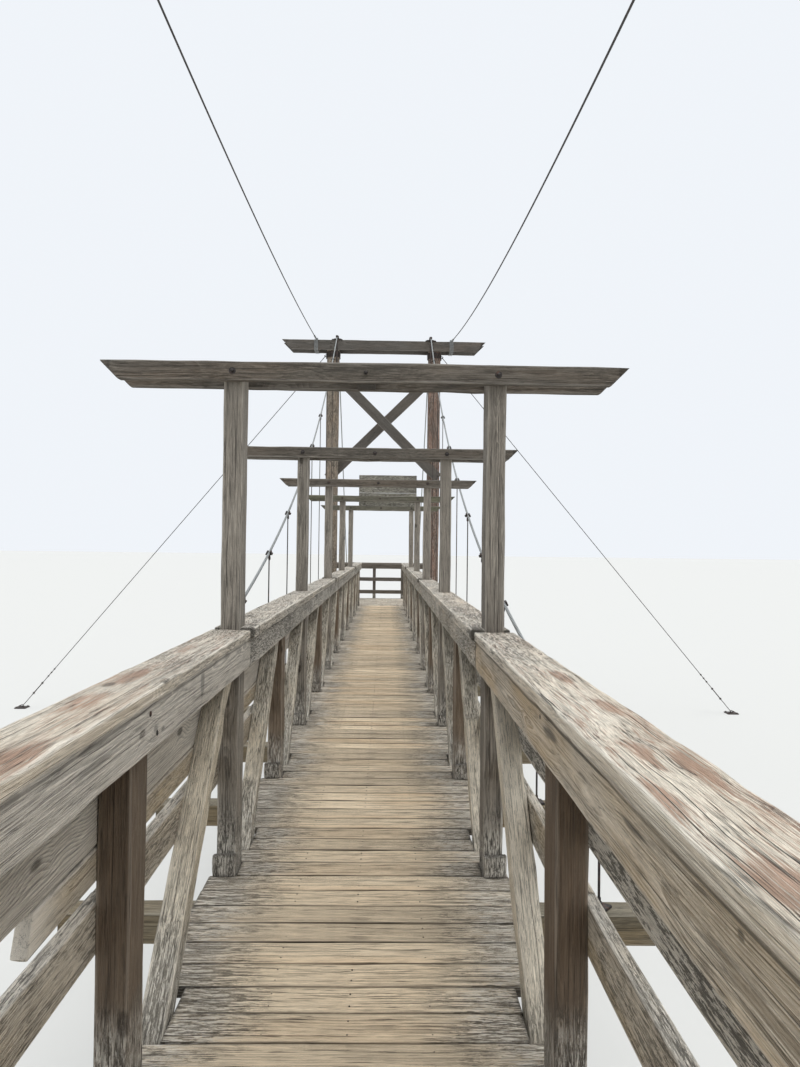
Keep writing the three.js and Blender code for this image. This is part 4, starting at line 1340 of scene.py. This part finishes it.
class FootbridgeTowers(bpy.types.Operator):
    """Poles, paired beams, cross braces and the beams under the floor at both towers."""

    bl_idname = "footbridge.towers"
    bl_label = "Towers"

    def execute(self, context):
        between = 2 * TOWER_PLANE - BOARD - 0.002
        half = (TOWER_BEAM - TOWER_BOARD) / 2
        under_top = TOWER_TOP - TOWER_BOARD
        low = STRINGER_UNDER - CROSS_BEAM
        for label, end in ENDS:
            y = end * TOWER_Y
            beam = Timbers(f"tower_beam_boards_{label}")
            for face in BOTH:
                beam.level(half, y + face * TOWER_PLANE, TOWER_TOP - TOWER_BOARD / 2, TOWER_BOARD, BOARD,
                           cuts=(-1.0, 1.0), rough=0.002, bow=0.004, weather=0.05)
            for side in BOTH:
                beam.upright(side * TIE_X, y, under_top, TOWER_TOP - 0.002, SPACER, between)
            beam.piece("tower", "post_timber", f"tower_beam_{label}")
            under = Timbers(f"tower_cross_beam_boards_{label}")
            for face in BOTH:
                under.level(CROSS_BEAM_HALF, y + face * TOWER_PLANE, low + CROSS_BEAM / 2, CROSS_BEAM, BOARD,
                            weather=0.1)
            for side in BOTH:
                under.upright(side * SPACER_X, y, low, low + BEAM, SPACER, between)
            under.piece("floor", "floor_timber", f"tower_cross_beam_{label}")
            self.brace(f"{label}_inner", y - end * TOWER_PLANE, -1)
            self.brace(f"{label}_outer", y + end * TOWER_PLANE, 1)
            for side_label, side in SIDES:
                material = "red_pole" if side == end else "pole"
                self.pole(f"{label}_{side_label}", side * POLE_CENTRE, y, material)
        return {"FINISHED"}

    def brace(self, place, plane, rise):
        """One board of a tower's cross, which climbs to the right where rise is 1."""
        work = Timbers(f"tower_brace_board_{place}")
        middle = (BRACE_LOW + BRACE_HIGH) / 2
        climb = rise * (BRACE_HIGH - BRACE_LOW) / 2
        left = Vector((-POLE_CENTRE, plane, middle - climb))
        right = Vector((POLE_CENTRE, plane, middle + climb))
        along = (right - left).normalized()
        work.add(left - along * BRACE_OVERRUN, right + along * BRACE_OVERRUN, along.cross(Vector((0, -1, 0))),
                 TOWER_BOARD, BOARD, rough=0.002)
        work.piece("tower", "post_timber", f"tower_brace_{place}")

    def pole(self, place, x, y, material):
        """A round pole with long open checks, swellings and a chamfered top."""
        name = f"pole_{place}"
        random = np.random.default_rng(zlib.crc32(name.encode()))
        angles = np.linspace(0, math.tau, POLE_SIDES, endpoint=False)
        heights = np.append(np.linspace(0, TOWER_TOP - 0.02, POLE_ROWS), TOWER_TOP)
        checks = [(random.uniform(0, math.tau), random.uniform(0.5, 6.0), random.uniform(1.5, 4.0))
                  for _ in range(POLE_CHECKS)]
        phase = random.uniform(0, 6, 4)
        radius = np.zeros((len(heights), POLE_SIDES))
        for i, height in enumerate(heights):
            swell = 0.003 * np.sin(2 * angles + phase[0] + height) + 0.0025 * np.sin(height * 1.7 + phase[1])
            radius[i] = POLE_RADIUS - 0.007 + swell + random.normal(0, 0.0009, POLE_SIDES)
            for turn, middle, span in checks:
                off = np.angle(np.exp(1j * (angles - turn - 0.06 * np.sin(height * 2 + phase[2]))))
                near = np.clip(1 - abs(height - middle) / (span / 2), 0, 1)
                radius[i] -= 0.016 * near ** 0.5 * np.exp(-(off / 0.05) ** 2)
        radius[-1] -= 0.014
        up = np.repeat(heights[:, None], POLE_SIDES, 1)
        grain = np.stack([radius * np.cos(angles), radius * np.sin(angles), up], axis=-1).reshape(-1, 3)
        mesh = bpy.data.meshes.new(name)
        mesh.from_pydata(((grain + (x, y, 0)) * MODEL_SCALE).tolist(), [], loft(len(heights), POLE_SIDES))
        store(mesh, "grain", grain)
        store(mesh, "span", np.tile((0.3, 0.3, TOWER_TOP), (len(grain), 1)))
        store(mesh, "board", np.full(len(grain), random.random()))
        store(mesh, "weather", np.clip(1 - grain[:, 2] / 1.2, 0.25 if material == "red_pole" else 0.20, 1))
        mesh.update()
        mesh.shade_smooth()
        mesh.set_sharp_from_angle(angle=math.radians(50))
        note_skyward(mesh)
        mesh.materials.append(finish(material))
        settle(add_object(name, mesh), "pole_timber", f"tower_pole_{place}")


def on_saddle(angle, lift=0.0):
    """A place along Y from the tower and a height, on the cable's arc over its saddle."""
    return SADDLE_BEND * math.sin(angle), CABLE_HIGH + lift - SADDLE_BEND * (1 - math.cos(angle))


class FootbridgeSaddles(bpy.types.Operator):
    """Steel saddles on the pole tops, with straps down the beams and rope wound round the poles."""

    bl_idname = "footbridge.saddles"
    bl_label = "Saddles"

    def execute(self, context):
        for label, end in ENDS:
            for side_label, side in SIDES:
                self.saddle(f"{label}_{side_label}", side * CABLE_X, end * TOWER_Y)
                self.wrap(f"{label}_{side_label}", side, end * TOWER_Y)
        return {"FINISHED"}

    def saddle(self, place, x, y):
        """A bolted base plate, two ribbed cheeks and the trough between them."""
        work = Metalwork(f"saddle_casting_{place}")
        base = TOWER_TOP + 0.001
        low, high = base + 0.010, base + 0.060
        work.box((x, y, base + SADDLE_PLATE[2] / 2), SADDLE_PLATE)
        angles = np.linspace(-SADDLE_TURN, SADDLE_TURN, 13)
        cheek = [on_saddle(angle, 0.004) for angle in angles] + [(0.19, low), (-0.19, low)]
        rib = [(-0.005, low), (0.005, low), (0.005, high), (-0.005, high)]
        for face in BOTH:
            work.sheet(x + face * 0.024, y, cheek, SADDLE_CHEEK)
            for offset in (-0.10, 0.0, 0.10):
                work.sheet(x + face * 0.055, y + offset, rib, 0.055)
        arc = [on_saddle(angle, -CABLE_RADIUS - 0.006) for angle in angles]
        work.tube([(x, y + u, z) for u, z in arc], SADDLE_TROUGH, 8)
        nut = ((0.016, 0.0), (0.016, 0.014), (0.012, 0.017))
        work.nuts((x, y, base + SADDLE_PLATE[2]), 0.10, 0.18, nut)
        work.piece(f"saddle_{place}")

    def wrap(self, place, side, y):
        """Turns of rope round the pole and a strap over each beam board."""
        work = Metalwork(f"pole_wrap_{place}")
        per_turn = 20
        radius = POLE_RADIUS + 0.009
        low = TOWER_TOP - TOWER_BOARD - 0.165
        path = []
        for i in range(WRAP_TURNS * per_turn + 1):
            angle = math.tau * i / per_turn
            x = side * POLE_CENTRE + radius * math.cos(angle)
            path.append((x, y + radius * math.sin(angle), low + WRAP_PITCH * i / per_turn))
        work.tube(path, WRAP_ROPE, 6)
        for face in BOTH:
            plane = y + face * (TOWER_PLANE + BOARD / 2 + 0.006)
            work.box((side * CABLE_X, plane, TOWER_TOP - 0.27), BEAM_STRAP, 0.0015)
        work.piece()


def cable_rule():
    """How steeply the main cable leaves its saddle, where, and its sag: height = CABLE_LOW + sag * y * y."""
    turn = math.atan(2 * (CABLE_HIGH - CABLE_LOW) / TOWER_Y)
    back, end_z = on_saddle(turn)
    end_y = TOWER_Y - back
    return turn, end_y, (end_z - CABLE_LOW) / end_y ** 2


def main_cable_path(x):
    """The main cable from anchor to anchor."""
    turn, end_y, sag = cable_rule()
    half = [(y, CABLE_LOW + sag * y * y) for y in np.linspace(0, end_y, 60)]
    arc_steps = 10
    for i in range(1, arc_steps + 1):
        past, z = on_saddle((turn + BACKSTAY) * i / arc_steps - turn)
        half.append((TOWER_Y + past, z))
    half.append((ANCHOR_Y, ANCHOR_TOP + 0.03))
    return [(x, -y, z) for y, z in reversed(half[1:])] + [(x, y, z) for y, z in half]


def cable_clamp():
    """A two-part clamp with its bolts, and the eye that holds the hanger rod, centred on the cable."""
    part = Metalwork("clamp")
    nut = ((0.009, 0.0), (0.009, 0.009), (0.006, 0.011))
    for face in BOTH:
        part.box((face * 0.017, 0, 0), CLAMP_CHEEK, 0.005)
        for gap in (-0.020, 0.020):
            part.turned(nut, (face * 0.026, gap, -0.011), (face, 0, 0), 6)
    part.turned(((0.010, 0.0), (0.013, 0.010), (0.013, 0.038), (0.008, 0.050)), (0, 0, -0.078), sides=10)
    part.tube(circle((0.0, 0.0, -0.030), 0.022, 12, 1, 2), 0.006, 6, closed=True)
    return part.sample()


def hanger_rod():
    """A rod one model metre high, whose thickness is the real rod's."""
    part = Metalwork("rod")
    part.rod((0, 0, 0), (0, 0, 1 / MODEL_SCALE), HANGER_RADIUS, 8)
    return part.sample()


class FootbridgeCables(bpy.types.Operator):
    """Main cables over the saddles to their anchors, with a clamp and a rod at every hanger."""

    bl_idname = "footbridge.cables"
    bl_label = "Main cables"

    def execute(self, context):
        low, sag = CABLE_LOW * MODEL_SCALE, cable_rule()[2] / MODEL_SCALE
        for label, side in SIDES:
            x = side * CABLE_X
            cable = rope(f"wire_rope_{label}", main_cable_path(x), CABLE_RADIUS, "cable", 10, 0.10)
            settle(cable, "cable_steel", f"main_cable_{label}")
            feet = [(x, k * PANEL, STRINGER_UNDER + 0.002) for k in range(-HANGER_PANELS, HANGER_PANELS + 1)]
            hangers = point_piece(f"hangers_{label}", feet)
            rod, clamp = hanger_rod(), cable_clamp()
            run_tree(hangers, hangers_tree, "dark_steel", low=low, sag=sag, rod=rod, clamp=clamp)
            discard(rod, clamp)
            settle(hangers, "fitting_steel")
            spots = [(foot, (0, 0, 1)) for foot in feet]
            set_fasteners(f"hanger_plates_{label}", plate_and_nut(HANGER_PLATE, HANGER_NUT), spots, 9)
            self.anchor_fittings(label, x)
        return {"FINISHED"}

    def anchor_fittings(self, label, x):
        """Sockets, bolted plates and wedge clamps at the cable's two ends and beside the saddles."""
        work = Metalwork(f"cable_end_fittings_{label}")
        end_y, sag = cable_rule()[1:]
        past, high = on_saddle(BACKSTAY)
        for end in BOTH:
            y = end * ANCHOR_Y
            work.box((x, y, ANCHOR_TOP + 0.0125), ANCHOR_PLATE)
            nut = ((0.018, 0.0), (0.018, 0.016), (0.012, 0.020))
            work.nuts((x, y, ANCHOR_TOP + ANCHOR_PLATE[2]), 0.075, 0.09, nut)
            for face in BOTH:
                work.box((x + face * 0.030, y, ANCHOR_TOP + 0.075), (0.012, 0.110, 0.110), 0.004)
            work.rod((x - 0.045, y, ANCHOR_TOP + 0.085), (x + 0.045, y, ANCHOR_TOP + 0.085), 0.014)
            down = Vector((0, end * math.cos(BACKSTAY), -math.sin(BACKSTAY)))
            foot = Vector((x, y, ANCHOR_TOP + 0.060))
            work.turned(CABLE_SOCKET, foot, -down)
            for at in ((x, end * (TOWER_Y + past), high), (x, end * end_y, CABLE_LOW + sag * end_y ** 2)):
                work.box(at, (0.056, 0.090, 0.060), 0.008)
            for gap in (0.5, 0.62, 0.74):
                work.box(foot - down * gap, (0.050, 0.045, 0.050), 0.008)
        work.piece()


class FootbridgeTies(bpy.types.Operator):
    """Overhead ties from tower to tower and guys from the poles to the ground."""

    bl_idname = "footbridge.ties"
    bl_label = "Ties and guys"

    def execute(self, context):
        for label, side in SIDES:
            self.overhead(label, side * TIE_X, TIE_LOW[label])
            for end_label, end in ENDS:
                self.guy(f"{end_label}_{label}", side, end * TOWER_Y)
        return {"FINISHED"}

    def overhead(self, label, x, lowest):
        """A sagging rope, clamped on the tower beams and lashed round them."""
        high = TOWER_TOP + 0.0456
        drop = high - lowest
        path = [(x, y, lowest + drop * (y / TOWER_Y) ** 2) for y in np.linspace(-TOWER_Y, TOWER_Y, 81)]
        tie = rope(f"overhead_rope_{label}", path, TIE_RADIUS, "dark_cable", 8, 0.14)
        settle(tie, "fitting_steel", f"overhead_tie_{label}")
        work = Metalwork(f"overhead_tie_fittings_{label}")
        reach_y = TOWER_PLANE + BOARD / 2 + 0.010
        reach_z = TOWER_BOARD / 2 + 0.010
        middle = TOWER_TOP - TOWER_BOARD / 2
        loop = ((-reach_y, -reach_z), (reach_y, -reach_z), (reach_y, reach_z), (-reach_y, reach_z))
        for end in BOTH:
            y = end * TOWER_Y
            work.box((x, y, TOWER_TOP + 0.046), TIE_CLAMP, 0.010)
            for gap in TIE_LASHINGS:
                work.tube([(x + gap, y + u, middle + v) for u, v in loop], 0.006, 6, closed=True)
            for gap in (0.35, 0.50, 0.65):
                work.box((x, y - end * gap, high - 2 * drop / TOWER_Y * gap), (0.034, 0.034, 0.040), 0.006)
        work.piece(material="steel")

    def guy(self, place, side, y):
        """A taut rope with a lug on the pole, a turnbuckle and a bolted plate on the ground."""
        lug_x = side * (POLE_CENTRE + POLE_RADIUS + 0.028)
        foot_x = side * GUY_FOOT_X
        top = Vector((lug_x, y, GUY_HIGH))
        foot = Vector((foot_x, y, 0.030))
        line = rope(f"guy_rope_{place}", [top, foot], GUY_RADIUS, "dark_cable", 6, 0.30)
        settle(line, "fitting_steel", f"side_guy_{place}")
        work = Metalwork(f"guy_fittings_{place}")
        work.box((side * (POLE_CENTRE + POLE_RADIUS + 0.004), y, GUY_HIGH), (0.016, 0.060, 0.150), 0.004)
        work.tube(circle(top, 0.024, 14, 0, 2), 0.008, 6, closed=True)
        work.box((foot_x, y, GUY_PLATE[2] / 2), GUY_PLATE, 0.004)
        work.nuts((foot_x, y, GUY_PLATE[2]), 0.095, 0.095, ((0.017, 0.0), (0.017, 0.014), (0.012, 0.018)))
        up = (top - foot).normalized()
        for face in (-0.020, 0.020):
            start = foot + up * TURNBUCKLE_START + Vector((0, face, 0))
            work.rod(start, start + up * TURNBUCKLE, 0.007, 6)
        ferrule = ((0.012, 0.0), (0.026, 0.012), (0.026, 0.032), (0.012, 0.044))
        for gap in (0.40, 0.71):
            work.turned(ferrule, foot + up * gap, up, 10)
        for gap in (0.95, 1.06, 1.17):
            work.box(foot + up * gap, GUY_CLIP, 0.006)
        work.tube(circle((foot_x, y, 0.045), 0.03, 12, 0, 2), 0.009, 6, closed=True)
        work.piece()


class FootbridgeAnchors(bpy.types.Operator):
    """Concrete blocks that hold the backstays down."""

    bl_idname = "footbridge.anchors"
    bl_label = "Anchor blocks"

    def execute(self, context):
        for end, _ in ENDS:
            for side, _ in SIDES:
                self.block(f"{end}_{side}")
        return {"FINISHED"}

    def block(self, place):
        """A cast block with broken arrises and gently uneven faces."""
        name = f"concrete_{place}"
        low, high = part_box(f"anchor_block_{place}")
        middle = (low + high) / 2
        work = bmesh.new()
        bmesh.ops.create_cube(work, size=1.0)
        bmesh.ops.scale(work, vec=high - low, verts=work.verts)
        bmesh.ops.translate(work, vec=middle, verts=work.verts)
        bmesh.ops.bevel(work, geom=list(work.edges), offset=0.010, segments=2, affect="EDGES")
        long = [edge for edge in work.edges if edge.calc_length() > 0.1]
        bmesh.ops.subdivide_edges(work, edges=long, cuts=7, use_grid_fill=True)
        random = np.random.default_rng(zlib.crc32(name.encode()))
        for vert in work.verts:
            if vert.co.z > low.z + 0.001:
                inward = (middle - vert.co).normalized()
                vert.co += inward * abs(random.normal(0, 0.0012))
        bmesh.ops.recalc_face_normals(work, faces=work.faces)
        mesh = bpy.data.meshes.new(name)
        work.to_mesh(mesh)
        work.free()
        mesh.shade_smooth()
        mesh.set_sharp_from_angle(angle=math.radians(30))
        mesh.materials.append(finish("concrete"))
        settle(add_object(name, mesh), "concrete", f"anchor_block_{place}")


class FootbridgeLandings(bpy.types.Operator):
    """Platforms on legs beyond the truss, with a rail across their far edge."""

    bl_idname = "footbridge.landings"
    bl_label = "Landings"

    def execute(self, context):
        for label, end in ENDS:
            self.platform(label, end)
            self.rail(label, end)
        return {"FINISHED"}

    def platform(self, label, end):
        """Beams, stringers and legs, and the boards on them."""
        work = Timbers(f"landing_frame_{label}")
        start = TRUSS_END + 0.001
        sill = BEAM_UNDER - 0.001
        beams = (
            (TRUSS_END - BEAM, TRUSS_END, sill - BEAM, sill), (start, start + BEAM, sill - BEAM, sill),
            (start, start + BEAM, sill + 0.001, STRINGER_UNDER),
            (LANDING_END - BEAM, LANDING_END, BEAM_UNDER, STRINGER_UNDER),
        )
        for y0, y1, z0, z1 in beams:
            work.level(LANDING_HALF, end * (y0 + y1) / 2, (z0 + z1) / 2, y1 - y0 - 0.002, z1 - z0, (0, 1, 0),
                       wear=0.006, rough=0.0014)
        z = DECK_UNDER - CHORD / 2
        for x in np.linspace(-1, 1, LANDING_STRINGERS) * (LANDING_HALF - BOARD / 2):
            work.add((x, end * start, z), (x, end * LANDING_END, z), (0, 0, 1), CHORD - 0.002, BOARD)
        for side in BOTH:
            for y, top in ((TRUSS_END, sill - BEAM), (LANDING_END - BEAM / 2, BEAM_UNDER)):
                work.upright(side * LANDING_LEG, end * y, 0.0, top, BEAM, BEAM, wear=0.006, weather=leg_grime)
        work.piece("floor", "deck_timber", f"landing_{label}")
        edge = TRUSS_END + 0.010
        pitch = (LANDING_END - edge) / LANDING_BOARDS
        z = DECK_TOP - BOARD / 2
        places = [(0.0, end * (edge + (i + 0.5) * pitch), z) for i in range(LANDING_BOARDS)]
        boards = lay_boards(f"landing_boards_{label}", places, [1.0] * LANDING_BOARDS,
                            2 * LANDING_HALF - 0.006, pitch - 0.006, landing_grime, 20 + end)
        settle(boards, "deck_timber")

    def rail(self, label, end):
        """Four posts with a cap and three rails."""
        work = Timbers(f"end_rail_timbers_{label}")
        face = LANDING_END - POST_X
        top = END_RAIL_TOP - BOARD
        for x in END_POSTS:
            work.upright(end * x, end * (face + POST_X / 2), DECK_TOP, top, POST_X, POST_X - 0.001,
                         weather=foot_grime)
        half = LANDING_HALF - 0.001
        work.level(half, end * (face - BOARD + CHORD / 2), top + BOARD / 2, CHORD, BOARD, (0, 1, 0),
                   weather=-0.35)
        for z, height in ((top - CHORD / 2, CHORD), *((DECK_TOP + centre, END_RAIL) for centre in END_RAILS)):
            work.level(half, end * (face - BOARD / 2), z, height, BOARD)
        work.piece("portal_beam", "post_timber", f"end_rail_{label}")


class FootbridgeSigns(bpy.types.Operator):
    """Blank sign boards on the outermost portals."""

    bl_idname = "footbridge.signs"
    bl_label = "Sign boards"

    def execute(self, context):
        for label, _ in ENDS:
            low, high = real_box(f"sign_board_{label}")
            work = Timbers(f"sign_boards_{label}")
            y = (low.y + high.y) / 2
            height = (high.z - low.z) / 2
            for z in (low.z + height / 2, high.z - height / 2):
                work.add((low.x, y, z), (high.x, y, z), (0, 0, 1), height - 0.003, high.y - low.y,
                         wear=0.003, weather=0.3)
            work.piece("sign", "sign_panel", f"sign_board_{label}")
        return {"FINISHED"}


class FootbridgeBolts(bpy.types.Operator):
    """Bolts through the portals, chords and towers, and nails where the chords meet the posts."""

    bl_idname = "footbridge.bolts"
    bl_label = "Bolts and nails"

    def execute(self, context):
        bolts = []
        z = PORTAL_TOP - POST_X / 2
        for k in PORTAL_POINTS:
            for face in BOTH:
                y = k * PANEL + face * (POST_Y / 2 + BOARD)
                bolts += [((x, y, z), (0, face, 0)) for x in (-POST_CENTRE, 0.0, POST_CENTRE)]
        for k in PANEL_POINTS:
            for side in BOTH:
                for z in (CAP_UNDER, DECK_UNDER, MID_RAIL_TOP):
                    bolts.append(((side * (POST_OUTER + BOARD), k * PANEL, z - CHORD / 2), (side, 0, 0)))
        heights = (TOWER_TOP - 0.075, TOWER_TOP - 0.165, STRINGER_UNDER - 0.08, STRINGER_UNDER - 0.20)
        for end in BOTH:
            for face in BOTH:
                y = end * TOWER_Y + face * (TOWER_PLANE + BOARD / 2)
                for x in (-POLE_CENTRE, POLE_CENTRE):
                    bolts += [((x + 0.05 * face, y, z), (0, face, 0)) for z in heights]
        for label, end in ENDS:
            low, high = real_box(f"sign_board_{label}")
            y = low.y if end > 0 else high.y
            for x in (low.x + 0.15, high.x - 0.15):
                bolts += [((x, y, z), (0, -end, 0)) for z in (low.z + 0.10, high.z - 0.10)]
        set_fasteners("bolts", bolt_head(context.scene.footbridge_sizes.bolt_head), bolts, 1)
        nails = [
            ((side * (POST_INNER - BOARD), k * PANEL + dy, CAP_UNDER - CHORD / 2 + dz), (-side, 0, 0))
            for k in PANEL_POINTS for side in BOTH for dy, dz in ((-0.035, 0.036), (0.030, -0.030))
        ]
        set_fasteners("chord_nails", nail_head(CHORD_NAIL), nails, 2)
        return {"FINISHED"}


class FootbridgeStageSetter(bpy.types.Operator):
    """The pale floor, the soft light and the camera."""

    bl_idname = "footbridge.stage"
    bl_label = "Stage"

    def execute(self, context):
        stage = context.scene.footbridge_stage
        self.camera(context)
        add_object("floor", self.floor_mesh(stage))
        world = bpy.data.worlds.new("Pale surround")
        world.use_nodes = True
        backdrop = world.node_tree.nodes["Background"]
        backdrop.inputs["Color"].default_value = opaque(stage.sky_colour)
        backdrop.inputs["Strength"].default_value = stage.sky_strength
        context.scene.world = world
        lamp = bpy.data.lights.new("soft_overhead", "SUN")
        lamp.energy = stage.lamp_strength
        lamp.angle = math.radians(70)
        lamp.color = (1.0, 0.985, 0.96)
        add_object("soft_overhead", lamp).rotation_euler = (math.radians(8), math.radians(8), 0)
        context.scene.view_settings.view_transform = "Standard"
        return {"FINISHED"}

    def floor_mesh(self, stage):
        reach = 220.0
        mesh = bpy.data.meshes.new("floor")
        corners = [(-reach, -reach, 0), (reach, -reach, 0), (reach, reach, 0), (-reach, reach, 0)]
        mesh.from_pydata(corners, [], [(0, 1, 2, 3)])
        material, _, shader = new_material("Pale floor")
        shader.inputs["Base Color"].default_value = opaque(stage.floor_colour)
        shader.inputs["Roughness"].default_value = 0.9
        mesh.materials.append(material)
        return mesh

    def camera(self, context):
        yaw, pitch, roll = (math.radians(angle) for angle in (YAW, PITCH, ROLL))
        forward = Vector((math.sin(yaw) * math.cos(pitch), math.cos(yaw) * math.cos(pitch), math.sin(pitch)))
        level = Vector((math.cos(yaw), -math.sin(yaw), 0))
        right = math.cos(roll) * level + math.sin(roll) * level.cross(forward)
        data = bpy.data.cameras.new("walker")
        data.lens = FOCAL_LENGTH
        data.sensor_width = 36.0
        data.clip_start, data.clip_end = 0.02, 500.0
        camera = add_object("walker", data)
        turn = Matrix((right, right.cross(forward), -forward)).transposed().to_4x4()
        camera.matrix_world = Matrix.Translation(EYE * MODEL_SCALE) @ turn
        context.scene.camera = camera


OPERATORS = (
    FootbridgeStageSetter, FootbridgePortals, FootbridgeTrusses, FootbridgeChords, FootbridgeCaps,
    FootbridgeFloor, FootbridgeTowers, FootbridgeSaddles, FootbridgeCables, FootbridgeTies, FootbridgeAnchors,
    FootbridgeLandings, FootbridgeSigns, FootbridgeBolts,
)
GROUPS = {
    "footbridge_sizes": FootbridgeSizes,
    "footbridge_colours": FootbridgeColours,
    "footbridge_stage": FootbridgeStage,
}


class FootbridgePanel(bpy.types.Panel):
    """Lists the bridge's pieces in the 3D view's sidebar."""

    bl_idname = "VIEW3D_PT_footbridge"
    bl_label = "Footbridge"
    bl_space_type = "VIEW_3D"
    bl_region_type = "UI"
    bl_category = "Footbridge"

    def draw(self, context):
        for operator in OPERATORS:
            self.layout.operator(operator.bl_idname)
        for name, group in GROUPS.items():
            box = self.layout.box()
            for key in group.__annotations__:
                box.prop(getattr(context.scene, name), key)


def register():
    for made in (*GROUPS.values(), *OPERATORS, FootbridgePanel):
        bpy.utils.register_class(made)
    for name, group in GROUPS.items():
        setattr(bpy.types.Scene, name, bpy.props.PointerProperty(type=group))


def unregister():
    for name in GROUPS:
        delattr(bpy.types.Scene, name)
    for made in (FootbridgePanel, *reversed(OPERATORS), *GROUPS.values()):
        bpy.utils.unregister_class(made)


def main():
    register()
    for operator in OPERATORS:
        area, name = operator.bl_idname.split(".")
        getattr(getattr(bpy.ops, area), name)()


if __name__ == "__main__":
    main()
